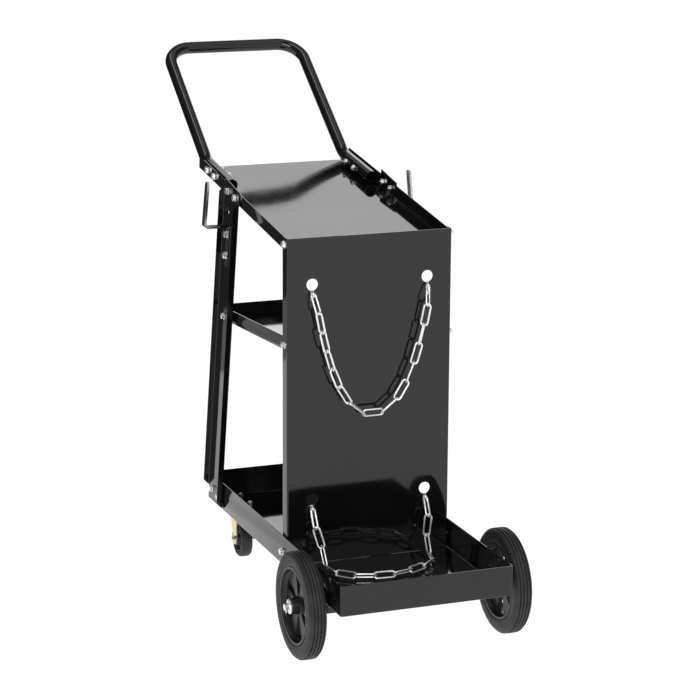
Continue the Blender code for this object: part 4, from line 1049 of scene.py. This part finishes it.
def spaced(route, count):
    """Points at equal steps along a polyline."""
    lengths = [(b - a).length for a, b in zip(route, route[1:])]
    points = []
    for k in range(count + 1):
        left = sum(lengths) * k / count
        piece = 0
        while piece < len(lengths) - 1 and left > lengths[piece]:
            left -= lengths[piece]
            piece += 1
        points.append(route[piece].lerp(route[piece + 1], min(left / lengths[piece], 1.0)))
    return points


def settled(points, floor):
    """Moves the points to one pitch apart and above the floor; both ends stay."""
    last = len(points) - 1
    for _ in range(4000):
        for k in range(last):
            gap = points[k + 1] - points[k]
            fix = gap * ((gap.length - PITCH) / gap.length / 2)
            if 0 < k:
                points[k] += fix
            if k + 1 < last:
                points[k + 1] -= fix
        for point in points[1:-1]:
            point.z = max(point.z, floor)
    return points


def end_normals(normals):
    """Adds the tail and slot links of both ends."""
    tail, slot = Vector((0.0, 1.0, 0.0)), Vector((1.0, 0.0, 0.0))
    return [tail, slot] + normals + [slot, tail]


def resting_normals(points):
    """Alternate quarter turns; links on the floor lie at 45 degrees to it."""
    normals = []
    last = len(points) - 2
    for k, (start, end) in enumerate(zip(points, points[1:])):
        along = (end - start).normalized()
        if abs(along.z) > 0.7:
            roll = (EDGE_ROLL, FACE_ROLL)[min(k, last - k) % 2] if 0 < k < last else END_ROLL
            normals.append(rolled(start, end, math.radians(-roll if along.z > 0 else roll)))
            continue
        across = along.cross(Vector((0.0, 0.0, 1.0))).normalized()
        normals.append(across + across.cross(along) * (-1 if k % 2 else 1))
    return normals


def add_chain(name, joints, normals, node):
    skins = [link_skin(start, end, Vector(normal)) for start, end, normal in zip(joints, joints[1:], normals)]
    build(name, skins, "zinc", node, [node], edge=0, angle=60.0)


def make_upper_chain():
    hang_z = KEYHOLE_ZS["upper"] - HANG_DROP
    joints = chained(hanging_joints(hang_z), hang_z)
    normals = [rolled(a, b, math.radians(roll)) for a, b, roll in zip(joints[2:], joints[3:], UPPER_ROLLS)]
    add_chain("upper_chain_links", joints, end_normals(normals), "upper_chain")


def make_lower_chain():
    hang_z = KEYHOLE_ZS["lower"] - HANG_DROP
    points = settled(spaced(resting_route(hang_z), LOWER_LINKS), CHAIN_FLOOR)
    joints = chained(points, hang_z)
    add_chain("lower_chain_links", joints, end_normals(resting_normals(points)), "lower_chain")


# ---------------------------------------------------------------- floor and light
WORLD_GLOW = 0.17
FLOOR_GLOW, FLOOR_ALBEDO, FLOOR_REACH = 1.0, 0.10, 30.0


def glowing(name, strength, albedo):
    """Matt material that shines by itself."""
    values = {"Base_Color": (albedo, albedo, albedo, 1.0), "Emission_Color": (1.0, 1.0, 1.0, 1.0)}
    values.update(Roughness=0.9, Specular_IOR_Level=0.0, Emission_Strength=strength)
    return new_material(name, **values)[0]


def stage_sheet(name, corners, strength, albedo=0.0, seen=False):
    """The floor, or a soft light or dark flag that shows only in reflections."""
    mesh = bpy.data.meshes.new(name)
    mesh.from_pydata(corners, [], [(0, 1, 2, 3)])
    item = bpy.data.objects.new(name, mesh)
    bpy.context.scene.collection.objects.link(item)
    mesh.materials.append(glowing(name, strength, albedo))
    item.visible_camera = seen


def upright(name, y, x0, x1, z0, z1, strength):
    """A standing sheet that faces the object."""
    stage_sheet(name, [(x0, y, z0), (x1, y, z0), (x1, y, z1), (x0, y, z1)], strength)


def overhead(name, z, x0, x1, y0, y1, strength):
    """A level sheet above the object."""
    stage_sheet(name, [(x0, y0, z), (x1, y0, z), (x1, y1, z), (x0, y1, z)], strength)


def make_stage():
    """Pale floor, soft lights in front, behind and overhead, and flags that darken glossy sides."""
    reach = FLOOR_REACH
    corners = [(-reach, -reach, 0.0), (reach, -reach, 0.0), (reach, reach, 0.0), (-reach, reach, 0.0)]
    stage_sheet("studio_floor", corners, FLOOR_GLOW, FLOOR_ALBEDO, seen=True)
    upright("back_softbox", 4.8, -1.0, 5.5, 0.6, 3.8, 1.7)
    upright("key_softbox", -5.8, -4.6, 0.4, 1.7, 4.6, 4.5)
    upright("front_softbox", -5.8, 0.8, 3.4, 1.2, 4.0, 0.95)
    overhead("overhead_softbox", 3.5, 0.62, 2.1, -4.0, 1.2, 0.85)
    overhead("overhead_strip", 3.5, -0.75, 0.05, -1.4, 1.7, 2.6)
    upright("grey_flag", 1.45, -4.0, -0.28, 0.0, 0.15, 0.38)
    upright("dark_flag", 1.45, -4.0, -0.28, 0.15, 2.2, 0.05)
    upright("hook_flag", 2.0, 0.2, 0.8, 0.88, 1.3, 0.05)
    world = bpy.data.worlds.new("studio_world")
    world.use_nodes = True
    background = world.node_tree.nodes["Background"]
    background.inputs["Color"].default_value = (1.0, 1.0, 1.0, 1.0)
    background.inputs["Strength"].default_value = WORLD_GLOW
    bpy.context.scene.world = world
    bpy.context.scene.view_settings.view_transform = "Standard"
    bpy.context.scene.view_settings.look = "None"


make_sheets()
make_handle()
make_axle_parts()
for word, side in SIDES:
    make_post(word, side)
    make_hook(word, side)
    make_wheel(word, side)
    make_castor(word, side)
make_all_bolts()
make_upper_chain()
make_lower_chain()
make_stage()
